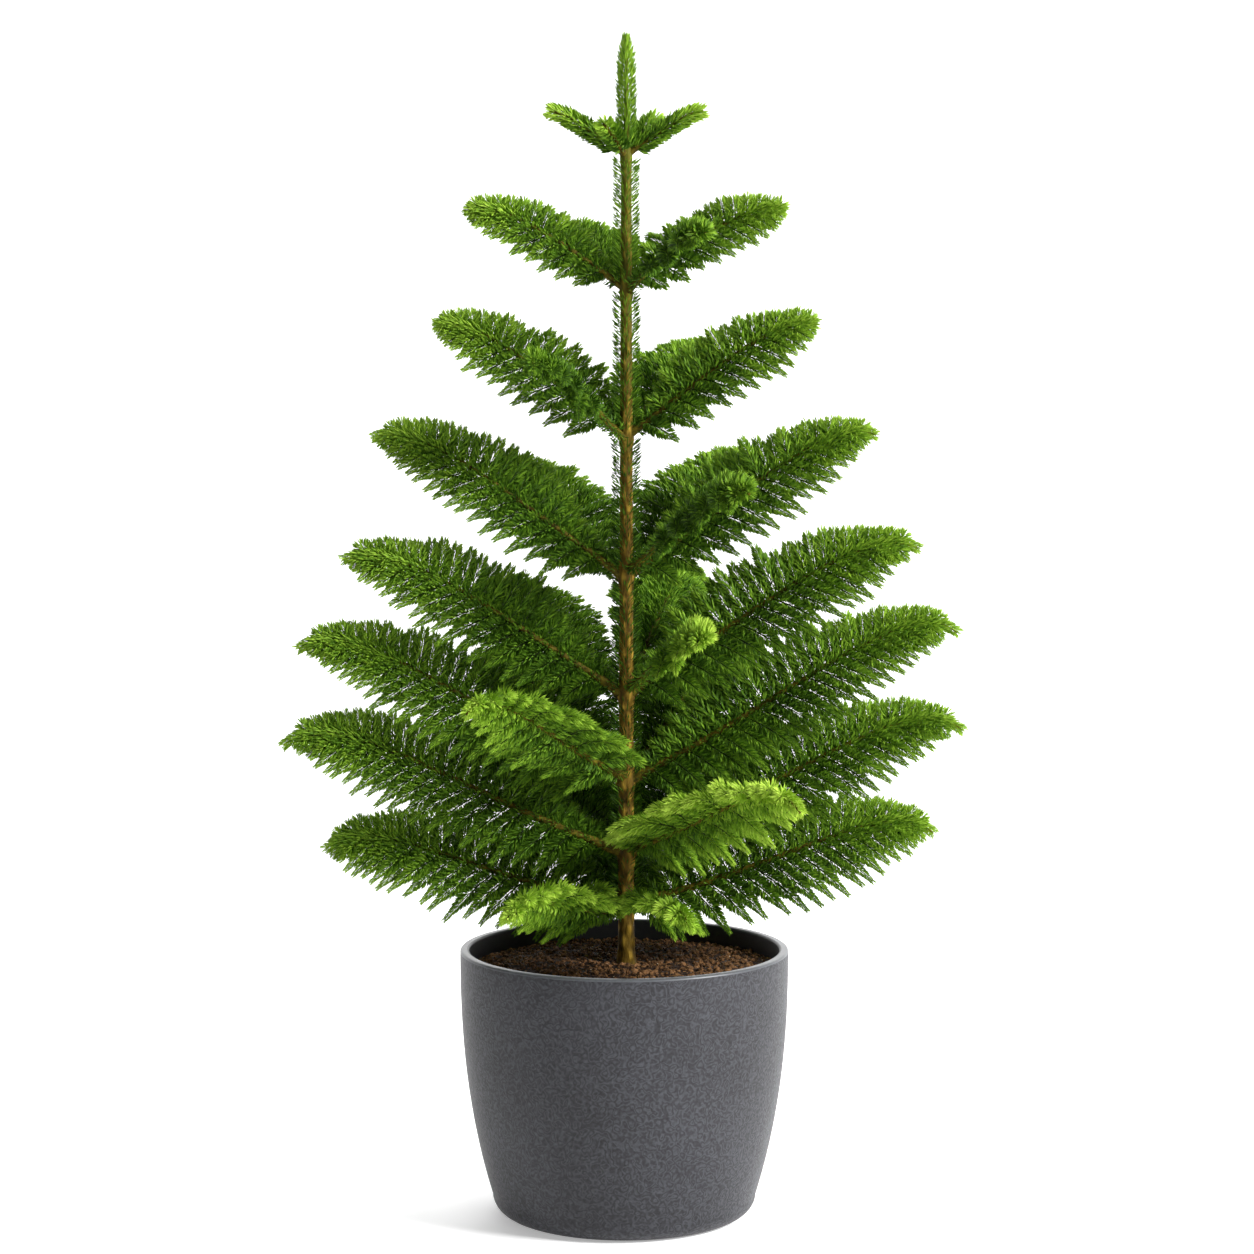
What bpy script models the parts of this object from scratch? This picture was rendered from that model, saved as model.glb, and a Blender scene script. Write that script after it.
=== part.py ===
"""Norfolk Island pine in a round pot: trunk, tiers of boughs, masses of foliage, soil and pot.

Metres, +Z up. The origin is the centre of the pot's flat underside. The plant is seen from the
front along +Y, with +X to the right, and its first two boughs in each tier lie left and right.
"""
import math
import random

import bmesh
import bpy
from mathutils import Vector
from mathutils.bvhtree import BVHTree

# Clearances, seed and shading
GAP = 0.0003
TEST_MARGIN = 0.0008
MERGE_DISTANCE = 0.00001
SEED = 41
SMOOTH_ANGLE = math.radians(35.0)

# Pot, turned about the origin
POT_SIDES = 40
POT_HEIGHT = 0.2455
POT_RIM_RADIUS = 0.150
POT_FOOT_RADIUS = 0.100
POT_FOOT_ROUND = 0.019
POT_FOOT_EDGE = 0.121
POT_WALL = 0.0085
POT_FLOOR = 0.012
POT_LIP_ROUND = 0.003
POT_WALL_POWER = 0.42
POT_WALL_STEPS = 5
POT_FOOT_STEPS = 3
POT_INNER_BEND = 0.135
POT_INNER_FOOT = 0.031

# Soil in the pot
SOIL_EDGE_DROP = 0.0185
SOIL_TOP = 0.2304
SOIL_SHOULDER_RADIUS = 0.09
SOIL_SHOULDER_LIFT = 0.8
SOIL_CROWN_RADIUS = 0.021

# Trunk
TRUNK_X = 0.0018
TRUNK_SIDES = 8
TRUNK_FOOT_RADIUS = 0.0071
TRUNK_UPPER_RADIUS = 0.0057
TRUNK_FLARE = 0.0023
TRUNK_FLARE_HEIGHT = 0.009
COLLAR_GROWTH = 0.16
COLLAR_HEIGHT = 0.009
LEADER_FOOT_RADIUS = 0.0030
LEADER_TIP_RADIUS = 0.0011
PLANT_TOP = 1.0768

# Leader: a sleeve of needles round the trunk's tip
LEADER_FOOT = 0.978
LEADER_SLEEVE_TOP = 1.058
LEADER_SLEEVE_WALL = 0.0020
LEADER_SLEEVE_SIDES = 6
LEADER_CLEARANCE = 0.00045
LEADER_REACH = 0.0104
LEADER_NEEDLES = 26
LEADER_NEEDLE_RISE = 0.011
LEADER_NARROWING = 0.22
CROWN_NEEDLES = 4
CROWN_NEEDLE_REACH = 0.0042
CROWN_NEEDLE_STEP = 0.001
NEEDLE_WIDTH = 0.0022
NEEDLE_DEPTH_SHARE = 0.3
NEEDLE_LIP_SHARE = 0.35
GOLDEN_ANGLE = math.radians(137.508)

# Boughs and sprays
CURVE_STEPS = 80
BASE_HANDLE = 0.50
TIP_HANDLE = 0.25
LIMB_SIDES = 5
LIMB_FOOT_GROWTH = 1.12
LIMB_GROWTH = 1.08
STEM_GROWTH = 1.25
STEM_SIDES = 3
STEM_RINGS = 5
LIMB_START = 0.012
LIMB_SHARE = 0.115
STEM_TIP_RADIUS = 0.0012
SHOOT_START = 0.87
SPRAY_PITCH = 0.0165
SPRAY_PITCH_GROWTH = 0.045
SPRAY_WIDTH_SHARE = 0.38
SPRAY_THICKNESS = 0.0058
SPRAY_ROOT_SHARE = 0.35
SPRAY_OUTLINE = ((0.30, 1.0), (0.45, 0.55), (0.68, 0.80))
SPRAY_APEX = 0.30
SPRAY_LEAST = 0.012
SPRAY_MARGIN = 0.004
SPRAY_PAIR_OFFSET = 0.22
SHOOT_OVERLAP = 0.003
RISING_ANGLES = (88.0, 60.0)
FALLING_ANGLES = (68.0, 48.0)
FALLING_SAG = 0.17
RISING_SAG = 0.05
RISING_SHARE = 0.86
SHORTEN_TRIES = (1.0, 0.8, 0.62, 0.45)
SECTOR_MARGIN = math.radians(2.0)
OPEN_SECTOR = math.radians(80.0)
FREE_ROOM = 1.0
WHORL_STAGGER = (0.0, 0.0, 0.005, -0.005, 0.004)
WHORL_STAGGER_REACH = 0.2


class Tier:
    """One whorl of boughs: its height and the curve that its left and right boughs follow."""

    def __init__(self, name, height, reach, rise, base_deg, tip_deg, radius, spray, limbs, boughs):
        self.name = name
        self.height = height
        self.reach = reach
        self.rise = rise
        self.base_angle = math.radians(base_deg)
        self.tip_angle = math.radians(tip_deg)
        self.radius = radius
        self.spray = spray
        self.limbs = limbs
        self.boughs = boughs


# Each bough: azimuth in degrees, share of the tier's reach, share of its rise, roll in degrees
TIERS = (
    Tier("tier1", 0.9645, 0.0795, 0.0360, 33.0, -38.0, 0.0017, 0.019, 0,
         ((180, 1.0, 1.0, -50), (0, 1.0, 1.0, 50), (62, 0.92, 0.85, 30), (242, 0.92, 0.75, 25))),
    Tier("tier2", 0.8447, 0.1535, 0.0655, 36.0, -40.0, 0.0022, 0.031, 0,
         ((180, 1.0, 1.0, -52), (0, 1.0, 1.0, 52), (118, 0.92, 0.8, -28), (304, 0.88, 0.72, 24))),
    Tier("tier3", 0.7128, 0.1835, 0.0950, 36.0, -41.0, 0.0025, 0.039, 0,
         ((180, 1.0, 1.0, -54), (0, 1.0, 1.0, 54), (60, 0.94, 0.8, 26), (236, 0.88, 0.7, -22))),
    Tier("tier4", 0.5856, 0.2390, 0.1190, 33.0, -43.0, 0.0028, 0.045, 0,
         ((180, 1.0, 1.0, -54), (0, 0.99, 1.02, 54), (54, 0.90, 0.72, 26),
          (126, 0.92, 0.74, -26), (303, 0.86, 0.62, 22))),
    Tier("tier5", 0.4781, 0.2700, 0.1200, 31.0, -43.0, 0.0031, 0.049, 5,
         ((180, 0.99, 0.96, -54), (0, 1.02, 1.05, 54), (74, 0.92, 0.66, 22),
          (127, 0.92, 0.62, -24), (284, 0.86, 0.58, 16))),
    Tier("tier6", 0.3993, 0.3080, 0.1180, 23.5, -55.0, 0.0033, 0.050, 5,
         ((180, 0.995, 0.94, -54), (0, 1.005, 1.07, 54), (64, 0.92, 0.78, 24),
          (121, 0.90, 0.66, -24), (240, 0.90, 0.76, -26))),
    Tier("tier7", 0.3330, 0.3170, 0.0950, 20.0, -58.0, 0.0034, 0.051, 5,
         ((180, 1.01, 0.93, -52), (0, 0.99, 1.08, 52), (58, 0.90, 0.74, 22),
          (123, 0.92, 0.78, -22), (297, 0.88, 0.92, 24))),
    Tier("tier8", 0.2868, 0.2855, 0.0470, 9.0, -58.0, 0.0034, 0.051, 4,
         ((180, 0.99, 0.84, -50), (0, 1.01, 1.16, 50), (92, 0.92, 0.9, 14),
          (245, 0.82, 0.98, -20), (286, 0.60, 0.5, 12))),
)

COLOURS = {
    "trunk": ((0.150, 0.085, 0.024), 0.75),
    "bough": ((0.105, 0.075, 0.018), 0.75),
    "foliage": ((0.045, 0.135, 0.022), 0.6),
    "pot": ((0.080, 0.086, 0.096), 0.55),
    "soil": ((0.030, 0.016, 0.009), 0.95),
}


def clear_scene():
    """Remove the objects that a new file holds."""
    for obj in list(bpy.data.objects):
        bpy.data.objects.remove(obj, do_unlink=True)


def new_material(name, finish):
    """A Principled material with one of the named finishes."""
    colour, roughness = COLOURS[finish]
    material = bpy.data.materials.new(name)
    material.use_nodes = True
    shader = material.node_tree.nodes["Principled BSDF"]
    shader.inputs["Base Color"].default_value = (*colour, 1.0)
    shader.inputs["Roughness"].default_value = roughness
    shader.inputs["Metallic"].default_value = 0.0
    material.diffuse_color = (*colour, 1.0)
    return material


def new_object(name, points, faces, collection=None):
    """A mesh object from points and faces, in the given collection or the scene's own."""
    mesh = bpy.data.meshes.new(name)
    mesh.from_pydata([tuple(p) for p in points], [], faces)
    mesh.update()
    obj = bpy.data.objects.new(name, mesh)
    (collection or bpy.context.scene.collection).objects.link(obj)
    return obj


def dress(obj, finish):
    """Give an object its own material and smooth shading over its shallow edges."""
    obj.data.materials.clear()
    obj.data.materials.append(new_material(obj.name + "_finish", finish))
    obj.data.shade_smooth()
    obj.data.set_sharp_from_angle(angle=SMOOTH_ANGLE)


def turned(name, profile, sides):
    """Spin a profile of (radius, height) points, from axis to axis, into a closed solid."""
    mesh = bpy.data.meshes.new(name)
    form = bmesh.new()
    verts = [form.verts.new((radius, 0.0, height)) for radius, height in profile]
    edges = [form.edges.new(pair) for pair in zip(verts, verts[1:])]
    bmesh.ops.spin(form, geom=verts + edges, cent=(0, 0, 0), axis=(0, 0, 1),
                   angle=math.tau, steps=sides, use_duplicate=False)
    bmesh.ops.remove_doubles(form, verts=form.verts, dist=MERGE_DISTANCE)
    bmesh.ops.recalc_face_normals(form, faces=form.faces)
    form.to_mesh(mesh)
    form.free()
    obj = bpy.data.objects.new(name, mesh)
    bpy.context.scene.collection.objects.link(obj)
    return obj


def pot_outer_radius(height):
    """Radius of the pot's outer wall: a wall that swells quickly, then rises almost straight."""
    share = max(0.0, (height - POT_FOOT_ROUND) / (POT_HEIGHT - POT_FOOT_ROUND))
    ease = 1.0 - (1.0 - share) ** (1.0 / POT_WALL_POWER)
    return POT_FOOT_EDGE + (POT_RIM_RADIUS - POT_FOOT_EDGE) * ease


def pot_inner_radius(height):
    """Radius of the pot's inner wall."""
    return pot_outer_radius(height) - POT_WALL


def pot_profile():
    """Outer wall, lip, inner wall and floor, from the underside's centre to the floor's centre."""
    profile = [(0.0, 0.0), (POT_FOOT_RADIUS, 0.0)]
    for step in range(1, POT_FOOT_STEPS):
        turn = step / POT_FOOT_STEPS * math.pi / 2.0
        radius = POT_FOOT_RADIUS + (POT_FOOT_EDGE - POT_FOOT_RADIUS) * math.sin(turn)
        profile.append((radius, POT_FOOT_ROUND * (1.0 - math.cos(turn))))
    wall_top = POT_HEIGHT - POT_LIP_ROUND
    for step in range(POT_WALL_STEPS + 1):
        height = POT_FOOT_ROUND + (wall_top - POT_FOOT_ROUND) * step / POT_WALL_STEPS
        profile.append((pot_outer_radius(height), height))
    inner_lip = POT_RIM_RADIUS - POT_WALL
    profile.append((POT_RIM_RADIUS - POT_LIP_ROUND, POT_HEIGHT))
    profile.append((inner_lip + POT_LIP_ROUND, POT_HEIGHT))
    profile.append((inner_lip, wall_top))
    for height in (POT_INNER_BEND, POT_INNER_FOOT):
        profile.append((pot_inner_radius(height), height))
    profile.append((POT_FOOT_RADIUS, POT_FLOOR))
    profile.append((0.0, POT_FLOOR))
    return profile


def upper_wall(height):
    """Radius of the inner wall's straight upper part, from its bend to the lip."""
    wall_top = POT_HEIGHT - POT_LIP_ROUND
    low = pot_inner_radius(POT_INNER_BEND)
    share = (height - POT_INNER_BEND) / (wall_top - POT_INNER_BEND)
    return low + (POT_RIM_RADIUS - POT_WALL - low) * share


def soil_profile():
    """The soil: a plug inside the pot, with a low dome that carries the trunk."""
    edge = POT_HEIGHT - SOIL_EDGE_DROP
    slack = 2.0 * GAP
    return [
        (0.0, POT_FLOOR + GAP),
        (POT_FOOT_RADIUS - slack, POT_FLOOR + GAP),
        (upper_wall(POT_INNER_BEND) - slack, POT_INNER_BEND),
        (upper_wall(edge) - slack, edge),
        (SOIL_SHOULDER_RADIUS, edge + SOIL_SHOULDER_LIFT * (SOIL_TOP - edge)),
        (SOIL_CROWN_RADIUS, SOIL_TOP),
        (0.0, SOIL_TOP),
    ]


def trunk_radius(height):
    """Radius of the trunk: flared foot, even taper, swollen whorls and a thin leader."""
    foot = SOIL_TOP + GAP
    top_whorl = TIERS[0].height
    if height > top_whorl + COLLAR_HEIGHT:
        share = (height - top_whorl) / (PLANT_TOP - top_whorl)
        return LEADER_FOOT_RADIUS + (LEADER_TIP_RADIUS - LEADER_FOOT_RADIUS) * share
    share = (height - foot) / (top_whorl - foot)
    radius = TRUNK_FOOT_RADIUS + (TRUNK_UPPER_RADIUS - TRUNK_FOOT_RADIUS) * share
    radius += TRUNK_FLARE * math.exp(-(height - foot) / TRUNK_FLARE_HEIGHT)
    nearest = min(abs(height - tier.height) for tier in TIERS)
    return radius * (1.0 + COLLAR_GROWTH * math.exp(-(nearest / COLLAR_HEIGHT) ** 2))


def trunk_levels():
    """Heights of the trunk's rings, close together at its foot and at each whorl."""
    foot = SOIL_TOP + GAP
    levels = [foot, foot + 0.007, foot + 0.020]
    for tier in reversed(TIERS):
        levels += [tier.height - 0.012, tier.height + 0.001, tier.height + 0.014]
    levels += [PLANT_TOP - 0.05, PLANT_TOP - 0.003]
    return levels


def ring_points(centre, first, second, radius, sides, turn=0.0):
    """Points of one ring, in the plane of two unit vectors."""
    points = []
    for side in range(sides):
        angle = turn + math.tau * side / sides
        points.append(centre + (first * math.cos(angle) + second * math.sin(angle)) * radius)
    return points


def tube(name, rings, collection=None):
    """A closed solid through rings of equal size, capped at both ends."""
    sides = len(rings[0])
    points = [point for ring in rings for point in ring]
    faces = [tuple(reversed(range(sides)))]
    for row in range(len(rings) - 1):
        for side in range(sides):
            low = row * sides
            after = (side + 1) % sides
            faces.append((low + side, low + after, low + sides + after, low + sides + side))
    last = (len(rings) - 1) * sides
    faces.append(tuple(range(last, last + sides)))
    return new_object(name, points, faces, collection)


def make_trunk():
    """The whole trunk, from its flat cut on the soil to its tip."""
    east, north = Vector((1, 0, 0)), Vector((0, 1, 0))
    rings = []
    for height in trunk_levels():
        centre = Vector((TRUNK_X, 0.0, height))
        rings.append(ring_points(centre, east, north, trunk_radius(height), TRUNK_SIDES))
    return tube("trunk", rings)


def built_radius(height):
    """The faceted trunk's corner radius, between its rings."""
    levels = trunk_levels()
    for low, high in zip(levels, levels[1:]):
        if low <= height <= high:
            share = (height - low) / (high - low)
            return trunk_radius(low) + (trunk_radius(high) - trunk_radius(low)) * share
    return trunk_radius(levels[-1])


def trunk_front(azimuth, height, half_width):
    """How far the faceted trunk reaches towards an azimuth, within a stem's width."""
    radius = max(built_radius(height + half_width * step) for step in (-0.8, 0.0, 0.8))
    reach = 0.0
    for step in range(-10, 11):
        lateral = half_width * step / 10.0
        turn = azimuth + math.atan2(lateral, radius)
        sector = math.tau / TRUNK_SIDES
        offset = (turn % sector) - sector / 2.0
        edge = radius * math.cos(sector / 2.0) / math.cos(offset)
        reach = max(reach, edge * math.cos(turn - azimuth))
    return reach


class Bough:
    """One bough: a curve in its own upright plane, its radius, and the space it keeps to."""

    def __init__(self, tier, index):
        azimuth, reach, rise, roll = tier.boughs[index]
        self.tier = tier
        self.index = index
        self.name = f"{tier.name}_{index + 1}"
        self.azimuth = math.radians(azimuth)
        self.roll = math.radians(roll)
        self.outward = Vector((math.cos(self.azimuth), math.sin(self.azimuth), 0.0))
        self.side = Vector((-math.sin(self.azimuth), math.cos(self.azimuth), 0.0))
        stagger = WHORL_STAGGER[index] * min(1.0, tier.reach / WHORL_STAGGER_REACH)
        self.origin = Vector((TRUNK_X, 0.0, tier.height + stagger))
        self.reach = tier.reach * reach
        self.size = reach
        rise_angle = math.atan2(tier.rise * rise, tier.reach * reach)
        full_angle = math.atan2(tier.rise, tier.reach)
        self.base_angle = tier.base_angle + rise_angle - full_angle
        self.tip_angle = tier.tip_angle
        self.rise = tier.rise * rise
        self.has_limb = index < tier.limbs
        self.track = [self.bezier(step / CURVE_STEPS) for step in range(CURVE_STEPS + 1)]
        lengths = [(b - a).length for a, b in zip(self.track, self.track[1:])]
        self.marks = [sum(lengths[:count]) for count in range(len(lengths) + 1)]
        self.length = self.marks[-1]

    def bezier(self, t):
        """Point on the bough's curve, for t from 0 at the trunk's axis to 1 at its tip."""
        lift = self.rise / self.reach
        base, tip = self.base_angle, self.tip_angle
        along = (0.0, BASE_HANDLE * math.cos(base), 1.0 - TIP_HANDLE * math.cos(tip), 1.0)
        up = (0.0, BASE_HANDLE * math.sin(base), lift - TIP_HANDLE * math.sin(tip), lift)
        weights = ((1 - t) ** 3, 3 * t * (1 - t) ** 2, 3 * t * t * (1 - t), t ** 3)
        run = self.reach * sum(w * a for w, a in zip(weights, along))
        height = self.reach * sum(w * u for w, u in zip(weights, up))
        return self.origin + self.outward * run + Vector((0, 0, height))

    def point(self, distance):
        """Point at a distance along the curve."""
        distance = min(max(distance, 0.0), self.length)
        for step in range(len(self.track) - 1):
            if self.marks[step + 1] >= distance:
                span = self.marks[step + 1] - self.marks[step]
                share = (distance - self.marks[step]) / span
                return self.track[step].lerp(self.track[step + 1], share)
        return self.track[-1]

    def tangent(self, distance):
        """Direction of growth at a distance along the curve."""
        ahead = self.point(min(distance + 0.002, self.length))
        return (ahead - self.point(max(min(distance, self.length) - 0.002, 0.0))).normalized()

    def radius(self, distance):
        """The bough's radius at a distance along the curve."""
        share = min(1.0, distance / (SHOOT_START * self.length))
        base = self.tier.radius * math.sqrt(self.size)
        return base + (STEM_TIP_RADIUS - base) * share ** 0.8

    def limb_end(self):
        """Distance along the curve at which the limb ends and the mass's stem begins."""
        return LIMB_START + LIMB_SHARE * self.length

    def trunk_start(self):
        """Distance from the trunk's axis to the bough's first ring."""
        width = STEM_GROWTH * self.radius(0.0)
        height = self.point(trunk_radius(self.origin.z)).z
        return trunk_front(self.azimuth, height, width) + GAP

    def upright_ring(self, sides, grow):
        """First ring of a limb or stem, flat against the trunk."""
        start = self.trunk_start()
        centre = self.point(start)
        centre += self.outward * (start - (centre - self.origin).dot(self.outward))
        upward = Vector((0, 0, 1))
        return ring_points(centre, self.side, upward, grow * self.radius(start), sides, math.pi / 2)

    def ring(self, distance, sides, grow):
        """A ring across the curve."""
        up = self.tangent(distance).cross(self.side).normalized()
        radius = grow * self.radius(distance)
        return ring_points(self.point(distance), self.side, up, radius, sides, math.pi / 2)

    def sector(self, sign):
        """Azimuth that this bough may fill on one side, up to half-way to its neighbour."""
        others = [math.radians(b[0]) for b in self.tier.boughs]
        turns = [(sign * (other - self.azimuth)) % math.tau for other in others]
        gaps = [turn for turn in turns if turn > 0.01]
        return min(gaps) / 2.0 - SECTOR_MARGIN

    def room(self, root, direction, sign):
        """How long a twig may grow from a root before it leaves the bough's own space."""
        half = self.sector(sign)
        if half > OPEN_SECTOR:
            return FREE_ROOM
        flat = Vector((self.side.x, self.side.y)) * sign
        out = Vector((self.outward.x, self.outward.y))
        start = Vector((root.x - TRUNK_X, root.y))
        step = Vector((direction.x, direction.y))
        wall = math.tan(half)
        gain = step.dot(flat) - wall * step.dot(out)
        space = wall * start.dot(out) - start.dot(flat)
        return space / gain if gain > 0.0001 else FREE_ROOM


def make_limb(bough):
    """The bare foot of a bough, one tapering limb."""
    end = bough.limb_end()
    rings = [bough.upright_ring(LIMB_SIDES, LIMB_FOOT_GROWTH)]
    for distance in (0.5 * (bough.trunk_start() + end), end - GAP):
        rings.append(bough.ring(distance, LIMB_SIDES, LIMB_GROWTH))
    return tube(f"bough_{bough.name}", rings)


def stem_rings(bough):
    """Rings of the stem that a mass of foliage grows from."""
    end = SHOOT_START * bough.length
    if bough.has_limb:
        start = bough.limb_end()
        rings = [bough.ring(start, STEM_SIDES, LIMB_GROWTH)]
    else:
        start = bough.trunk_start()
        rings = [bough.upright_ring(STEM_SIDES, STEM_GROWTH)]
    for step in range(1, STEM_RINGS):
        distance = start + (end - start) * step / (STEM_RINGS - 1)
        rings.append(bough.ring(distance, STEM_SIDES, STEM_GROWTH))
    return rings


def spray(name, centre, across, facing, half_width, thickness, collection):
    """A toothed blade of needles: a bent outline of barbs with a ridge above and below.

    centre is a function of 0 to 1 along the blade, and across and facing are its unit axes.
    """
    outline = [centre(0.0)]
    outline += [centre(u) + across * (half_width * v) for u, v in SPRAY_OUTLINE]
    outline.append(centre(1.0))
    outline += [centre(u) - across * (half_width * v) for u, v in reversed(SPRAY_OUTLINE)]
    count = len(outline)
    ridge = centre(SPRAY_APEX)
    points = outline + [ridge + facing * (thickness / 2.0), ridge - facing * (thickness / 2.0)]
    faces = []
    for index in range(count):
        after = (index + 1) % count
        faces.append((after, index, count))
        faces.append((index, after, count + 1))
    return new_object(name, points, faces, collection)


def spray_length(bough, share):
    """Length of a side spray: short by the trunk, full in the middle, short by the shoot."""
    swell = min(1.0, 0.50 + 1.6 * share)
    fall = 1.0 - 0.50 * max(0.0, (share - 0.55) / 0.45) ** 1.4
    return bough.tier.spray * swell * fall * (0.4 + 0.6 * bough.size)


def side_sprays(bough, rng):
    """Root, direction, sideways axis and length of each side spray, in pairs along the stem."""
    start = bough.limb_end() + SPRAY_MARGIN
    end = SHOOT_START * bough.length - SPRAY_MARGIN
    pitch = SPRAY_PITCH + SPRAY_PITCH_GROWTH * bough.reach
    count = max(2, round((end - start) / pitch))
    for pair in range(count):
        for sign in (1.0, -1.0):
            share = (pair + 0.5 + SPRAY_PAIR_OFFSET * sign) / count
            distance = start + (end - start) * share
            rising = sign * bough.roll > 0.0
            angles = RISING_ANGLES if rising else FALLING_ANGLES
            angle = math.radians(angles[0] + (angles[1] - angles[0]) * share + rng.uniform(-4, 4))
            tangent = bough.tangent(distance)
            up = tangent.cross(bough.side).normalized()
            roll = bough.roll + math.radians(rng.uniform(-6, 6))
            row = (bough.side * math.cos(roll) + up * math.sin(roll)) * sign
            direction = tangent * math.cos(angle) + row * math.sin(angle)
            length = spray_length(bough, share) * rng.uniform(0.93, 1.07)
            length *= RISING_SHARE if rising else 1.0
            sag = RISING_SAG if rising else FALLING_SAG
            direction.normalize()
            root = bough.point(distance) - direction * (SPRAY_ROOT_SHARE * bough.radius(distance))
            yield root, direction, row, length, sag, sign, pitch


def bent_line(root, direction, length, sag):
    """Centre line of a spray that starts in a direction and sags at its end."""
    def centre(share):
        drop = Vector((0.0, 0.0, -sag * length * share * share))
        return root + direction * (length * share) + drop
    return centre


def tree_of(obj, margin=0.0):
    """A search tree of an object's faces, swollen a little along its normals."""
    mesh = obj.data
    points = [vert.co + vert.normal * margin for vert in mesh.vertices]
    return BVHTree.FromPolygons(points, [tuple(face.vertices) for face in mesh.polygons])


def touches(obj, trees):
    """Whether an object, with a small margin, meets any of the search trees."""
    own = tree_of(obj, TEST_MARGIN)
    return any(own.overlap(tree) for tree in trees)


def drop_object(obj):
    """Remove an object and its mesh."""
    mesh = obj.data
    bpy.data.objects.remove(obj, do_unlink=True)
    bpy.data.meshes.remove(mesh)


def grow_sprays(bough, collection, others):
    """Grow a bough's side sprays, shortened or skipped where another solid is in the way."""
    rng = random.Random(SEED + 10 * TIERS.index(bough.tier) + bough.index)
    grown = []
    for root, direction, row, length, sag, sign, pitch in side_sprays(bough, rng):
        facing = row.cross(direction).normalized()
        across = facing.cross(direction).normalized()
        half_width = SPRAY_WIDTH_SHARE * pitch
        limit = bough.room(root, direction, sign) - 0.3 * half_width
        for share in SHORTEN_TRIES:
            reach = min(length, limit) * share
            if reach < SPRAY_LEAST and share < 1.0:
                break
            width = half_width * min(1.0, 0.55 + 0.45 * reach / length)
            line = bent_line(root, direction, reach, sag)
            blade = spray("spray", line, across, facing, width, SPRAY_THICKNESS, collection)
            if not touches(blade, others):
                grown.append(blade)
                break
            drop_object(blade)
    return grown


def grow_shoot(bough, collection):
    """The spray that ends a bough, along its drooping tip."""
    start = SHOOT_START * bough.length - SHOOT_OVERLAP
    span = bough.length - start
    tangent = bough.tangent(start + 0.5 * span)
    up = tangent.cross(bough.side).normalized()
    across = bough.side * math.cos(bough.roll) + up * math.sin(bough.roll)
    facing = tangent.cross(across).normalized()
    width = SPRAY_WIDTH_SHARE * (SPRAY_PITCH + 0.5 * SPRAY_PITCH_GROWTH * bough.reach)

    def centre(share):
        return bough.point(start + span * share)
    return spray("shoot", centre, across, facing, width, SPRAY_THICKNESS, collection)


def keep_main_body(obj):
    """Drop the loose scraps that a union may leave, and keep the largest body."""
    form = bmesh.new()
    form.from_mesh(obj.data)
    left = set(form.verts)
    groups = []
    while left:
        group = set()
        edge = [left.pop()]
        while edge:
            vert = edge.pop()
            group.add(vert)
            for link in vert.link_edges:
                other = link.other_vert(vert)
                if other in left:
                    left.discard(other)
                    edge.append(other)
        groups.append(group)
    groups.sort(key=len, reverse=True)
    scraps = [vert for group in groups[1:] for vert in group]
    bmesh.ops.delete(form, geom=scraps, context="VERTS")
    bmesh.ops.triangulate(form, faces=form.faces)
    form.to_mesh(obj.data)
    form.free()


def fuse(core, collection):
    """One Boolean union of a stem with its collection of sprays, applied."""
    join = core.modifiers.new("fuse", "BOOLEAN")
    join.operation = "UNION"
    join.solver = "EXACT"
    join.operand_type = "COLLECTION"
    join.collection = collection
    graph = bpy.context.evaluated_depsgraph_get()
    whole = bpy.data.meshes.new_from_object(core.evaluated_get(graph))
    core.modifiers.clear()
    before = core.data
    core.data = whole
    bpy.data.meshes.remove(before)
    for obj in list(collection.objects):
        drop_object(obj)
    bpy.data.collections.remove(collection)
    keep_main_body(core)
    core.data.name = core.name


def new_collection(name):
    """A collection for the pieces of one union."""
    collection = bpy.data.collections.new(name)
    bpy.context.scene.collection.children.link(collection)
    return collection


def leader_sleeve():
    """Rings of the leader's core, an open sleeve round the trunk's tip."""
    east, north = Vector((1, 0, 0)), Vector((0, 1, 0))
    fit = 1.0 / math.cos(math.pi / LEADER_SLEEVE_SIDES)
    rings = []
    for height, wall in ((LEADER_FOOT, 0), (LEADER_FOOT, 1), (LEADER_SLEEVE_TOP, 1),
                         (LEADER_SLEEVE_TOP, 0)):
        radius = (trunk_radius(height) + LEADER_CLEARANCE + wall * LEADER_SLEEVE_WALL) * fit
        centre = Vector((TRUNK_X, 0.0, height))
        rings.append(ring_points(centre, east, north, radius, LEADER_SLEEVE_SIDES))
    return rings


def ring_solid(name, rings):
    """A closed solid through rings whose last ring joins the first."""
    sides = len(rings[0])
    points = [point for ring in rings for point in ring]
    faces = []
    for row in range(len(rings)):
        low, high = row * sides, (row + 1) % len(rings) * sides
        for side in range(sides):
            after = (side + 1) % sides
            faces.append((low + side, high + side, high + after, low + after))
    obj = new_object(name, points, faces)
    form = bmesh.new()
    form.from_mesh(obj.data)
    bmesh.ops.recalc_face_normals(form, faces=form.faces)
    form.to_mesh(obj.data)
    form.free()
    return obj


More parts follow.
